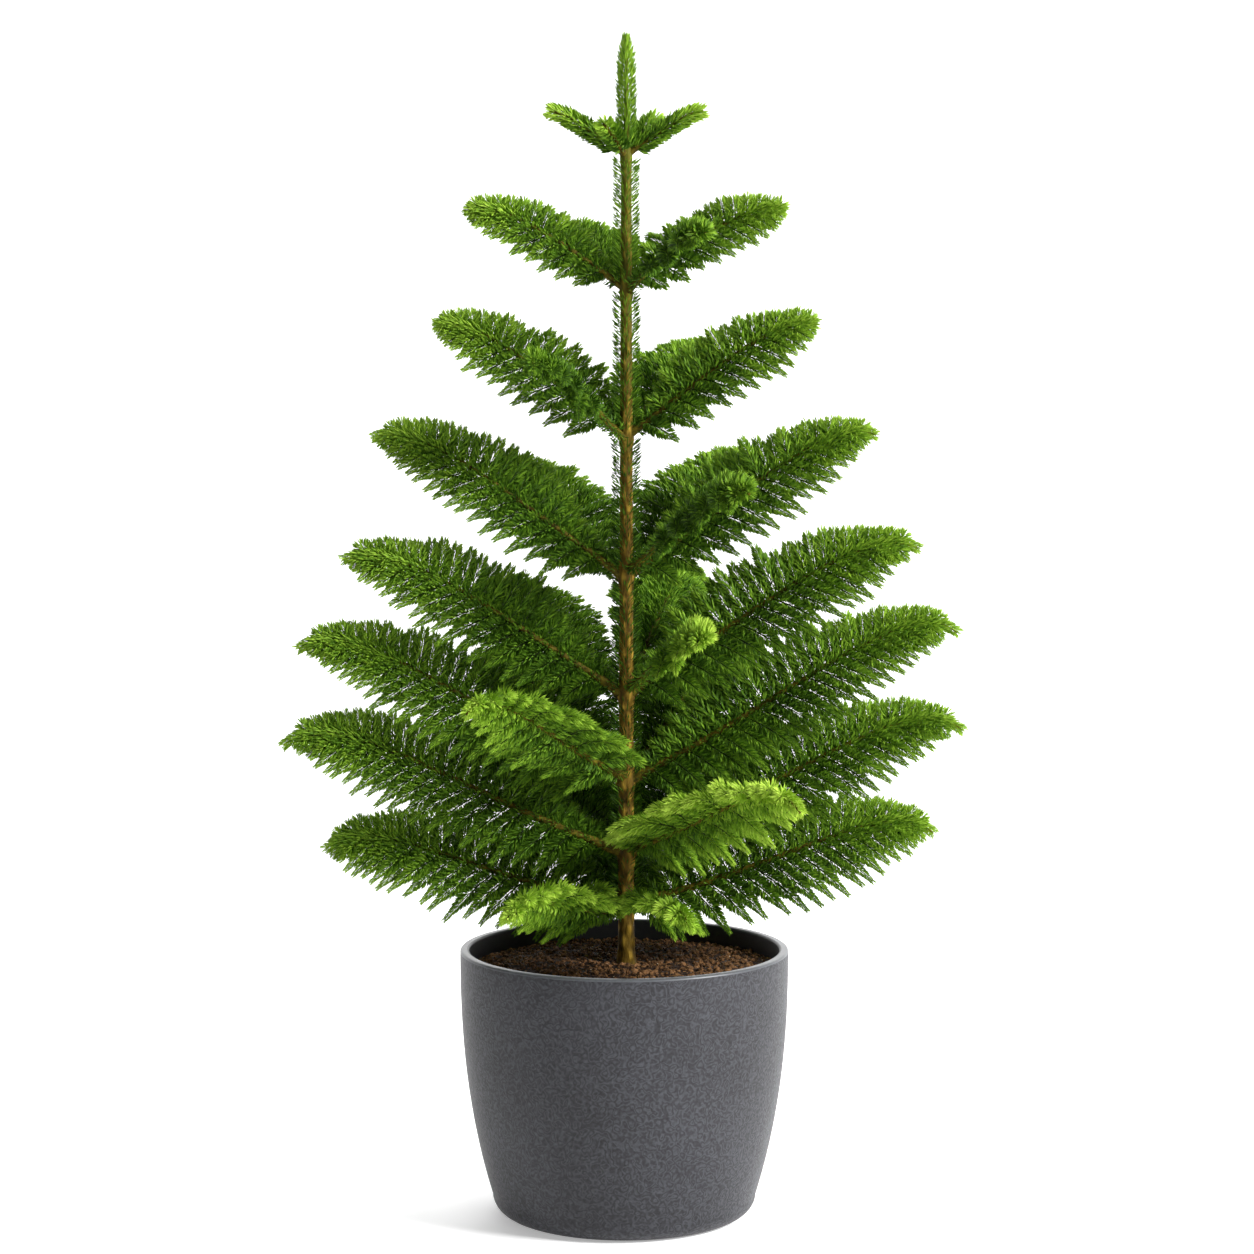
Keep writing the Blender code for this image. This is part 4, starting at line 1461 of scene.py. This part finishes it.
@dataclass
class Trunk:
    """The trunk with its bark's relief, from the soil to the leader's tip."""

    palette: Palette
    greens: list[bpy.types.Material]
    foot: float = 0.2285
    top: float = 1.0700
    foot_radius: float = 0.0074
    upper_radius: float = 0.0047
    flare: float = 0.0026
    flare_height: float = 0.010
    collar_growth: float = 0.26
    collar_height: float = 0.010
    leader_radius: float = 0.0030
    tip_radius: float = 0.0009
    sides: int = 48
    ring_step: float = 0.0012
    cushion: float = 0.00055
    fine_grain: float = 0.00022
    slim: float = 0.004
    neck: tuple[float, float] = (-0.004, 0.012)
    flare_start: float = 0.002
    collar_lift: float = 0.001
    furrow_scale: Place = (2.1, 2.1, 85.0)
    grain_scale: Place = (3.0, 3.0, 420.0)
    furrow_depth: float = 1.6
    bare_foot: float = 0.05
    stretch_ends: tuple[float, float] = (0.004, 0.006)
    stretch_steps: int = 12
    leader_ends: tuple[float, float] = (0.004, 0.0028)
    leader_steps: int = 24

    def radius(self, height: float) -> float:
        """Radius without relief: flared foot, even taper, swollen whorls, thin leader.

        Args:
            height: Metres above the floor.

        Returns:
            The radius.
        """
        top_whorl = TIERS[0].height
        share = (height - self.foot) / (top_whorl - self.foot)
        lower = blend(self.foot_radius, self.upper_radius, min(1.0, share))
        upper = blend(self.leader_radius, self.tip_radius,
                      max(0.0, (height - top_whorl) / (self.top - top_whorl)))
        radius = blend(lower, upper, smooth(*(top_whorl + end for end in self.neck), height))
        above = max(0.0, height - self.foot - self.flare_start)
        radius += self.flare * math.exp(-above / self.flare_height)
        nearest = min(abs(height - tier.height - self.collar_lift) for tier in TIERS)
        return radius * (1.0 + self.collar_growth * math.exp(-(nearest / self.collar_height) ** 2))

    def relief(self, angle: float, height: float) -> float:
        """Depth of the bark at one spot: long slanted cushions with furrows between.

        Args:
            angle: Azimuth on the trunk in radians.
            height: Metres above the floor.

        Returns:
            The depth, more than 0 outward.
        """
        wide, deep, tall = self.furrow_scale
        spot = Vector((math.cos(angle) * wide, math.sin(angle) * deep, height * tall))
        wide, deep, tall = self.grain_scale
        fine = noise.noise(Vector((spot.x * wide, spot.y * deep, height * tall)))
        rise = height * BARK_WAVES
        one, other = (math.sin(BARK_CUSHIONS * angle + way) * 0.5 + 0.5 for way in (rise, -rise))
        furrow = abs(noise.noise(spot)) * self.furrow_depth
        old = 1.0 - 0.5 * smooth(0.75, 0.98, height)
        return (self.cushion * (one * other - furrow) + self.fine_grain * fine) * old

    def build(self) -> None:
        """Make the trunk and hand it to the frame."""
        shell = Shell()
        rows = round((self.top - self.foot) / self.ring_step)
        rings = []
        for row in range(rows + 1):
            height = blend(self.foot, self.top, row / rows)
            base = self.radius(height)
            ring = []
            for side in range(self.sides):
                angle = math.tau * side / self.sides
                reach = base + self.relief(angle, height) * min(1.0, base / self.slim)
                away = math.sin(angle) * reach
                ring.append(Vector((TRUNK_X + math.cos(angle) * reach, away, height)))
            rings.append(ring)
        shell.tube(rings)
        keep(shell.build("trunk_wood", self.palette.trunk.make()), Slot.TRUNK_BARK, "trunk")
        self.build_needles()

    def leader_bud(self, share: float) -> Bud:
        """What grows on the leader.

        Args:
            share: Place along the leader, 0 to 1.

        Returns:
            One point of its skeleton.
        """
        low, high = self.leader_ends
        height = blend(TIERS[0].height + low, self.top - high, share)
        return Bud(place=Vector((TRUNK_X, 0.0, height)), tint=0.42 + 0.22 * share,
                   stem=self.radius(height), size=1.2 * (1.0 - 0.35 * smooth(0.8, 1.0, share)),
                   dense=1.0, lean=math.radians(blend(44.0, 20.0, smooth(0.7, 1.0, share))),
                   blade=FRONT)

    def trunk_bud(self, height: float) -> Bud:
        """What grows on the trunk below the leader.

        Args:
            height: Metres above the floor.

        Returns:
            One point of its skeleton.
        """
        return Bud(place=Vector((TRUNK_X, 0.0, height)),
                   tint=0.14 + 0.30 * smooth(0.55, 0.95, height), stem=self.radius(height) * 1.15,
                   size=1.1, dense=0.72, lean=math.radians(54.0), blade=FRONT, part=0.16)

    def build_needles(self) -> None:
        """Grow the needles that stand on the trunk and round its leader."""
        sprigs = Skeleton()
        heights = [self.foot + self.bare_foot] + [tier.height for tier in reversed(TIERS)]
        after, before = self.stretch_ends
        for low, high in zip(heights, heights[1:]):
            shares = [step / self.stretch_steps for step in range(self.stretch_steps + 1)]
            sprigs.chain([self.trunk_bud(blend(low + after, high - before, share))
                          for share in shares])
        sprigs.chain([self.leader_bud(step / self.leader_steps)
                      for step in range(self.leader_steps + 1)])
        coat = NeedleCoat(self.greens, spacing=0.00012, length=0.0108, width=0.001, arch=0.07,
                          seed=11)
        keep(coat.rule().grow(sprigs.build("needles_trunk")), Slot.NEEDLES, "foliage_leader")


@dataclass
class BoughWood:
    """The bark of every bough, from its collar on the trunk to its tip."""

    boughs: list[Bough]
    palette: Palette
    trunk: Trunk
    sides: int = 12
    ring_step: float = 0.004
    sunk: float = 0.0015
    stoutness: float = 1.32
    collar: float = 0.55
    collar_length: float = 0.009
    knobs: float = 0.16
    knob_scale: float = 260.0
    knob_turn: float = 1.4
    tip_taper: float = 0.45

    def rings(self, bough: Bough) -> list[list[Vector]]:
        """Rings of one bough, sunk in the trunk and swollen where it leaves it.

        Args:
            bough: The bough.

        Returns:
            The rings, from its foot to its tip.
        """
        end = bough.length - bough.habit.needle_reach + 0.001
        rows = round((end - self.sunk) / self.ring_step)
        rings = []
        for row in range(rows + 1):
            distance = blend(self.sunk, end, row / rows)
            centre = bough.point(distance)
            tangent = bough.tangent(distance)
            beyond = max(0.0, distance - self.trunk.radius(bough.origin.z))
            swell = self.stoutness + self.collar * math.exp(-beyond / self.collar_length)
            tip = 1.0 - self.tip_taper * smooth(0.9, 1.0, row / rows)
            base = bough.radius(distance) * swell * tip
            ring = []
            for side in range(self.sides):
                way = bough.across(tangent, math.tau * side / self.sides)
                spot = centre * self.knob_scale + way * self.knob_turn
                knob = noise.noise(spot) * self.knobs
                ring.append(centre + way * (base * (1.0 + knob)))
            rings.append(ring)
        return rings

    def build(self) -> None:
        """Make the wood of all boughs and hand it to the frame."""
        shell = Shell()
        nodes = []
        for bough in self.boughs:
            shell.tube(self.rings(bough))
            if bough.index < bough.tier.limbs:
                nodes.append(f"bough_{bough.name}")
        keep(shell.build("bough_wood", self.palette.bough.make()), Slot.BOUGH_BARK, *nodes)


# Pot and soil


class Face(Enum):
    """Finishes of the pot, as the number of each on its mesh."""

    STONE = 0
    LIP = 1
    LINING = 2


@dataclass
class Pot:
    """The round tapered pot: stone wall, smooth lip and dark lining."""

    palette: Palette
    height: float = 0.2455
    rim_radius: float = 0.150
    foot_radius: float = 0.100
    foot_round: float = 0.019
    foot_edge: float = 0.121
    wall: float = 0.0085
    floor: float = 0.012
    lip_round: float = 0.0021
    wall_power: float = 0.42
    sides: int = 192
    wall_steps: int = 40
    lining_steps: int = 10
    foot_steps: int = 9
    lip_steps: int = 5

    def outer(self, height: float) -> float:
        """Radius of the outer wall.

        Args:
            height: Metres above the floor.

        Returns:
            The radius.
        """
        share = max(0.0, (height - self.foot_round) / (self.height - self.foot_round))
        ease = 1.0 - (1.0 - min(1.0, share)) ** (1.0 / self.wall_power)
        return self.foot_edge + (self.rim_radius - self.foot_edge) * ease

    def profile(self) -> list[tuple[float, float, Face]]:
        """The pot's section, from the middle of its foot to the middle of its floor.

        Returns:
            Radius and height of each point, and the finish of the stretch that ends there.
        """
        stone, lip, lining = Face
        line = [(0.0, 0.0, stone), (self.foot_radius / 2.0, 0.0, stone),
                (self.foot_radius, 0.0, stone)]
        for turn in quarter(self.foot_steps)[:-1]:
            line.append((blend(self.foot_radius, self.foot_edge, math.sin(turn)),
                         self.foot_round * (1.0 - math.cos(turn)), stone))
        wall_top = self.height - self.lip_round
        for step in range(self.wall_steps + 1):
            height = blend(self.foot_round, wall_top, step / self.wall_steps)
            line.append((self.outer(height), height, stone))
        for turn in quarter(self.lip_steps):
            line.append((self.rim_radius - self.lip_round * (1.0 - math.cos(turn)),
                         wall_top + self.lip_round * math.sin(turn), lip))
        inner = self.rim_radius - self.wall
        line.append((inner + self.lip_round, self.height, lip))
        for turn in quarter(self.lip_steps):
            line.append((inner + self.lip_round * (1.0 - math.sin(turn)),
                         wall_top + self.lip_round * math.cos(turn), lining))
        for step in range(1, self.lining_steps + 1):
            height = blend(wall_top, self.foot_round + self.floor, step / self.lining_steps)
            line.append((self.outer(height) - self.wall, height, lining))
        line += [(self.foot_radius, self.floor, lining), (0.0, self.floor, lining)]
        return line

    def build(self) -> None:
        """Make the pot and hand it to the frame."""
        line = self.profile()
        form = bmesh.new()
        rings = []
        for radius, height, _ in line:
            turns = [math.tau * n / self.sides for n in range(self.sides if radius else 1)]
            rings.append([form.verts.new((radius * math.cos(turn), radius * math.sin(turn), height))
                          for turn in turns])
        for (low, high), (_, _, look) in zip(zip(rings, rings[1:]), line[1:]):
            for n in range(self.sides):
                after = (n + 1) % self.sides
                corners = [low[n % len(low)], low[after % len(low)],
                           high[after % len(high)], high[n % len(high)]]
                face = form.faces.new(list(dict.fromkeys(corners)))
                face.material_index = look.value
                face.smooth = True
        bmesh.ops.recalc_face_normals(form, faces=form.faces)
        mesh = bpy.data.meshes.new("pot_shell")
        form.to_mesh(mesh)
        form.free()
        for finish in (self.palette.stone, self.palette.lip, self.palette.lining):
            mesh.materials.append(finish.make())
        keep(show("pot_shell", mesh), Slot.POT_STONE, "pot")


@dataclass(frozen=True)
class Litter:
    """One kind of bit on the soil: copies in a square metre, sizes, seed and tilt in radians."""

    label: str
    density: float
    least: float
    most: float
    seed: int
    tilt: float


@dataclass
class Soil:
    """Crumbly soil in the pot, with coir fibres and a few pale chips."""

    palette: Palette
    radius: float = 0.1405
    edge: float = 0.2262
    crown: float = 0.2312
    bottom: float = 0.205
    bottom_radius: float = 0.135
    rings: int = 74
    sides: int = 210
    shuffle: float = 0.0004
    seed: int = 17
    dome_power: float = 1.6
    lump_scale: float = 70.0
    lump_height: float = 0.0022
    crumb_scale: float = 330.0
    crumb_height: float = 0.0011
    patch_scale: float = 90.0
    crumb_sizes: tuple[float, float] = (0.7, 1.15)
    crumb_flatness: float = 0.7
    crumbs: Litter = Litter("soil_crumbs", 46_000.0, 0.0018, 0.0082, 5, 3.1)
    fibres: Litter = Litter("soil_fibres", 10_000.0, 0.005, 0.014, 6, 0.25)
    chips: Litter = Litter("soil_chips", 1_500.0, 0.0010, 0.0026, 7, 3.1)

    def height(self, x: float, y: float) -> float:
        """Height of the surface: a low dome with lumps and hollows.

        Args:
            x: Place to the right.
            y: Place away from the camera.

        Returns:
            The height.
        """
        share = math.hypot(x, y) / self.radius
        dome = blend(self.crown, self.edge, share ** self.dome_power)
        spot = Vector((x, y, 0.3))
        lumps = noise.fractal(spot * self.lump_scale, 0.8, 2.1, 4) * self.lump_height
        crumbs = (1.0 - abs(noise.noise(spot * self.crumb_scale)) * 2.0) * self.crumb_height
        return dome + lumps + crumbs * (0.5 + 0.5 * noise.noise(spot * self.patch_scale))

    def surface(self) -> bpy.types.Object:
        """The soil's closed body.

        Returns:
            The object, in the scene.
        """
        rng = random.Random(self.seed)
        shell = Shell([Vector((0.0, 0.0, self.height(0.0, 0.0)))])
        for ring in range(1, self.rings + 1):
            radius = self.radius * ring / self.rings
            shuffle = self.shuffle if ring < self.rings else 0.0
            for n in range(self.sides):
                angle = math.tau * (n + 0.5 * (ring % 2)) / self.sides
                reach = radius + (rng.uniform(-shuffle, shuffle) if shuffle else 0.0)
                x, y = reach * math.cos(angle), reach * math.sin(angle)
                shell.points.append(Vector((x, y, self.height(x, y))))
        low = len(shell.points)
        for n in range(self.sides):
            angle = math.tau * (n + 0.5 * (self.rings % 2)) / self.sides
            shell.points.append(Vector((self.bottom_radius * math.cos(angle),
                                        self.bottom_radius * math.sin(angle), self.bottom)))
        shell.points.append(Vector((0.0, 0.0, self.bottom)))
        for n in range(self.sides):
            after = (n + 1) % self.sides
            shell.faces.append((0, 1 + n, 1 + after))
            for ring in range(self.rings):
                inner = 1 + ring * self.sides
                outer = inner + self.sides
                shell.faces.append((inner + n, outer + n, outer + after, inner + after))
            shell.faces.append((low + n, len(shell.points) - 1, low + after))
        return shell.build("soil_bed", self.palette.earth.make())

    def scatter(self, ground: bpy.types.Object, litter: Litter, helper: bpy.types.Object,
                finish: EarthFinish) -> None:
        """Strew copies of a helper over the soil by Geometry Nodes.

        Args:
            ground: The soil's body.
            litter: How many there are, and how they lie.
            helper: The crumb, fibre or chip.
            finish: Their finish.
        """
        grow = Growth(litter.label)
        amount = grow.knob("Density", litter.density)
        seed = grow.knob("Seed", litter.seed)
        bit = grow.knob("Bit", helper)
        material = grow.knob("Finish", finish.make())
        least = Wire(grow, grow.knob("Least", litter.least))
        most = Wire(grow, grow.knob("Most", litter.most))
        normal = grow.node("GeometryNodeInputNormal").outputs[0]
        split = grow.node("ShaderNodeSeparateXYZ", {}, {0: normal})
        settings = {"data_type": "FLOAT", "operation": "GREATER_THAN"}
        upward = grow.node("FunctionNodeCompare", settings, {"A": split.outputs["Z"], "B": 0.2})
        dots = grow.node("GeometryNodeDistributePointsOnFaces", {}, {
            "Mesh": grow.entry.outputs[0], "Selection": upward.outputs[0],
            "Density": amount, "Seed": seed})
        turn = grow.node("ShaderNodeCombineXYZ", {}, {
            0: grow.chance(-litter.tilt, litter.tilt, seed, 1),
            1: grow.chance(-litter.tilt, litter.tilt, seed, 2),
            2: grow.chance(0.0, math.tau, seed, 3)})
        rotation = grow.node("FunctionNodeEulerToRotation", {}, {0: turn.outputs[0]})
        scale = least + (most - least) * grow.chance(0.0, 1.0, seed, 4) ** 2.0
        solid = grow.copies(dots.outputs[0], bit, rotation.outputs[0], scale)
        grow.end(grow.dress(solid, material))
        keep(grow.grow(show(litter.label, ground.data.copy())), Slot.SOIL)

    def crumb(self) -> bpy.types.Object:
        """A lumpy grain of unit size.

        Returns:
            The helper object, outside the scene.
        """
        form = bmesh.new()
        bmesh.ops.create_icosphere(form, subdivisions=1, radius=0.5)
        rng = random.Random(self.seed)
        for vert in form.verts:
            vert.co *= rng.uniform(*self.crumb_sizes)
            vert.co.z *= self.crumb_flatness
        mesh = bpy.data.meshes.new("crumb")
        form.to_mesh(mesh)
        form.free()
        return bpy.data.objects.new("crumb", mesh)

    def fibre(self) -> bpy.types.Object:
        """A bent coir fibre of unit length.

        Returns:
            The helper object, outside the scene.
        """
        shell = Shell()
        rings = []
        for step in range(7):
            share = step / 6
            bend, lift = 0.16 * math.sin(share * 4.2), 0.10 * math.sin(share * 3.1)
            centre = Vector((share - 0.5, bend, lift))
            radius = 0.028 * (1.0 - 0.5 * abs(share - 0.5))
            rings.append([centre + Vector((0.0, math.cos(turn), math.sin(turn))) * radius
                          for turn in (0.0, 2.094, 4.189)])
        shell.tube(rings)
        return bpy.data.objects.new("fibre", shell.mesh("fibre"))

    def build(self) -> None:
        """Make the soil and hand it to the frame."""
        ground = self.surface()
        keep(ground, Slot.SOIL, "soil")
        crumb = self.crumb()
        self.scatter(ground, self.crumbs, crumb, self.palette.crumb)
        self.scatter(ground, self.fibres, self.fibre(), self.palette.coir)
        self.scatter(ground, self.chips, crumb, self.palette.chip)


# Studio


@dataclass(frozen=True)
class Lamp:
    """One square soft light: where it hangs, its side, its watts and what it faces."""

    name: str
    place: Place
    size: float
    power: float
    aim: Place = (0.0, 0.0, 0.5)


@dataclass
class Studio:
    """Camera, soft lights, pale floor and backdrop."""

    eye: Place = (0.00247, -3.2, 0.85756)
    tip_deg: float = 84.33552
    lens: float = 101.8459
    sensor: float = 36.0
    lamps: tuple[Lamp, ...] = (
        Lamp("key_light", (2.9, -1.5, 2.2), 1.2, 255.0),
        Lamp("fill_light", (-2.6, -2.0, 1.4), 1.8, 0.5),
        Lamp("top_light", (0.2, 0.6, 3.0), 1.6, 30.0),
        Lamp("backdrop_light", (0.0, 1.4, 3.4), 2.4, 90.0, (0.0, 3.6, 0.6)),
    )
    world_light: float = 0.12
    white: Colour = (1.0, 1.0, 1.0)
    paper: Colour = (0.94, 0.94, 0.94)
    paper_glow: float = 0.36
    half_width: float = 8.0
    floor_front: float = -6.0
    floor_back: float = 2.0
    backdrop_round: float = 1.5
    backdrop_top: float = 6.0

    def camera(self) -> None:
        """Place the camera as the photograph was taken."""
        data = bpy.data.cameras.new("studio_camera")
        data.lens = self.lens
        data.sensor_width = self.sensor
        data.clip_start, data.clip_end = 0.05, 60.0
        camera = show("studio_camera", data)
        camera.location = self.eye
        camera.rotation_euler = (math.radians(self.tip_deg), 0.0, 0.0)
        bpy.context.scene.camera = camera

    def light(self, lamp: Lamp) -> None:
        """Hang one square soft light.

        Args:
            lamp: The light.
        """
        data = bpy.data.lights.new(lamp.name, "AREA")
        data.shape = "SQUARE"
        data.size = lamp.size
        data.energy = lamp.power
        turn = (Vector(lamp.aim) - Vector(lamp.place)).to_track_quat("-Z", "Y")
        stand = Matrix.Translation(lamp.place) @ turn.to_matrix().to_4x4()
        show(lamp.name, data).matrix_world = stand

    def ground(self) -> None:
        """Lay a pale floor that rises into a backdrop."""
        shell = Shell()
        rows = [(self.floor_front, 0.0), (self.floor_back, 0.0)]
        rows += [(self.floor_back + self.backdrop_round * math.sin(turn),
                  self.backdrop_round * (1.0 - math.cos(turn))) for turn in quarter(12)]
        rows += [(self.floor_back + self.backdrop_round, self.backdrop_top)]
        for y, z in rows:
            shell.points += [Vector((-self.half_width, y, z)), Vector((self.half_width, y, z))]
        shell.faces = [(2 * n, 2 * n + 1, 2 * n + 3, 2 * n + 2) for n in range(len(rows) - 1)]
        finish = Finish("studio_paper")
        finish.set(Base_Color=self.paper, Roughness=0.9, Specular_IOR_Level=0.1,
                   Emission_Color=self.white, Emission_Strength=self.paper_glow)
        shell.build("studio_floor", finish.material)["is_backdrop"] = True

    def build(self) -> None:
        """Set up the whole studio."""
        world = bpy.data.worlds.new("studio_world")
        bpy.context.scene.world = world
        world.use_nodes = True
        sky = world.node_tree.nodes["Background"]
        sky.inputs["Color"].default_value = (*self.white, 1.0)
        sky.inputs["Strength"].default_value = self.world_light
        bpy.context.scene.view_settings.view_transform = "Standard"
        self.camera()
        for lamp in self.lamps:
            self.light(lamp)
        self.ground()


def corners() -> list[list[float]]:
    """The shown object's box as plain lists."""
    return [list(corner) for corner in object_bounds()]


def main() -> None:
    """Build every sub-assembly in order."""
    logging.basicConfig(level=logging.INFO, format="%(name)s %(message)s")
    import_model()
    habit, palette = Habit(), Palette()
    boughs = [Bough(tier, index, habit) for tier in TIERS for index in range(len(tier.boughs))]
    Pot(palette).build()
    Soil(palette).build()
    greens = [green.make() for green in palette.greens]
    trunk = Trunk(palette, greens)
    trunk.build()
    BoughWood(boughs, palette, trunk).build()
    Foliage(habit, boughs, palette, greens).build()
    Studio().build()


if __name__ == "__main__":
    main()
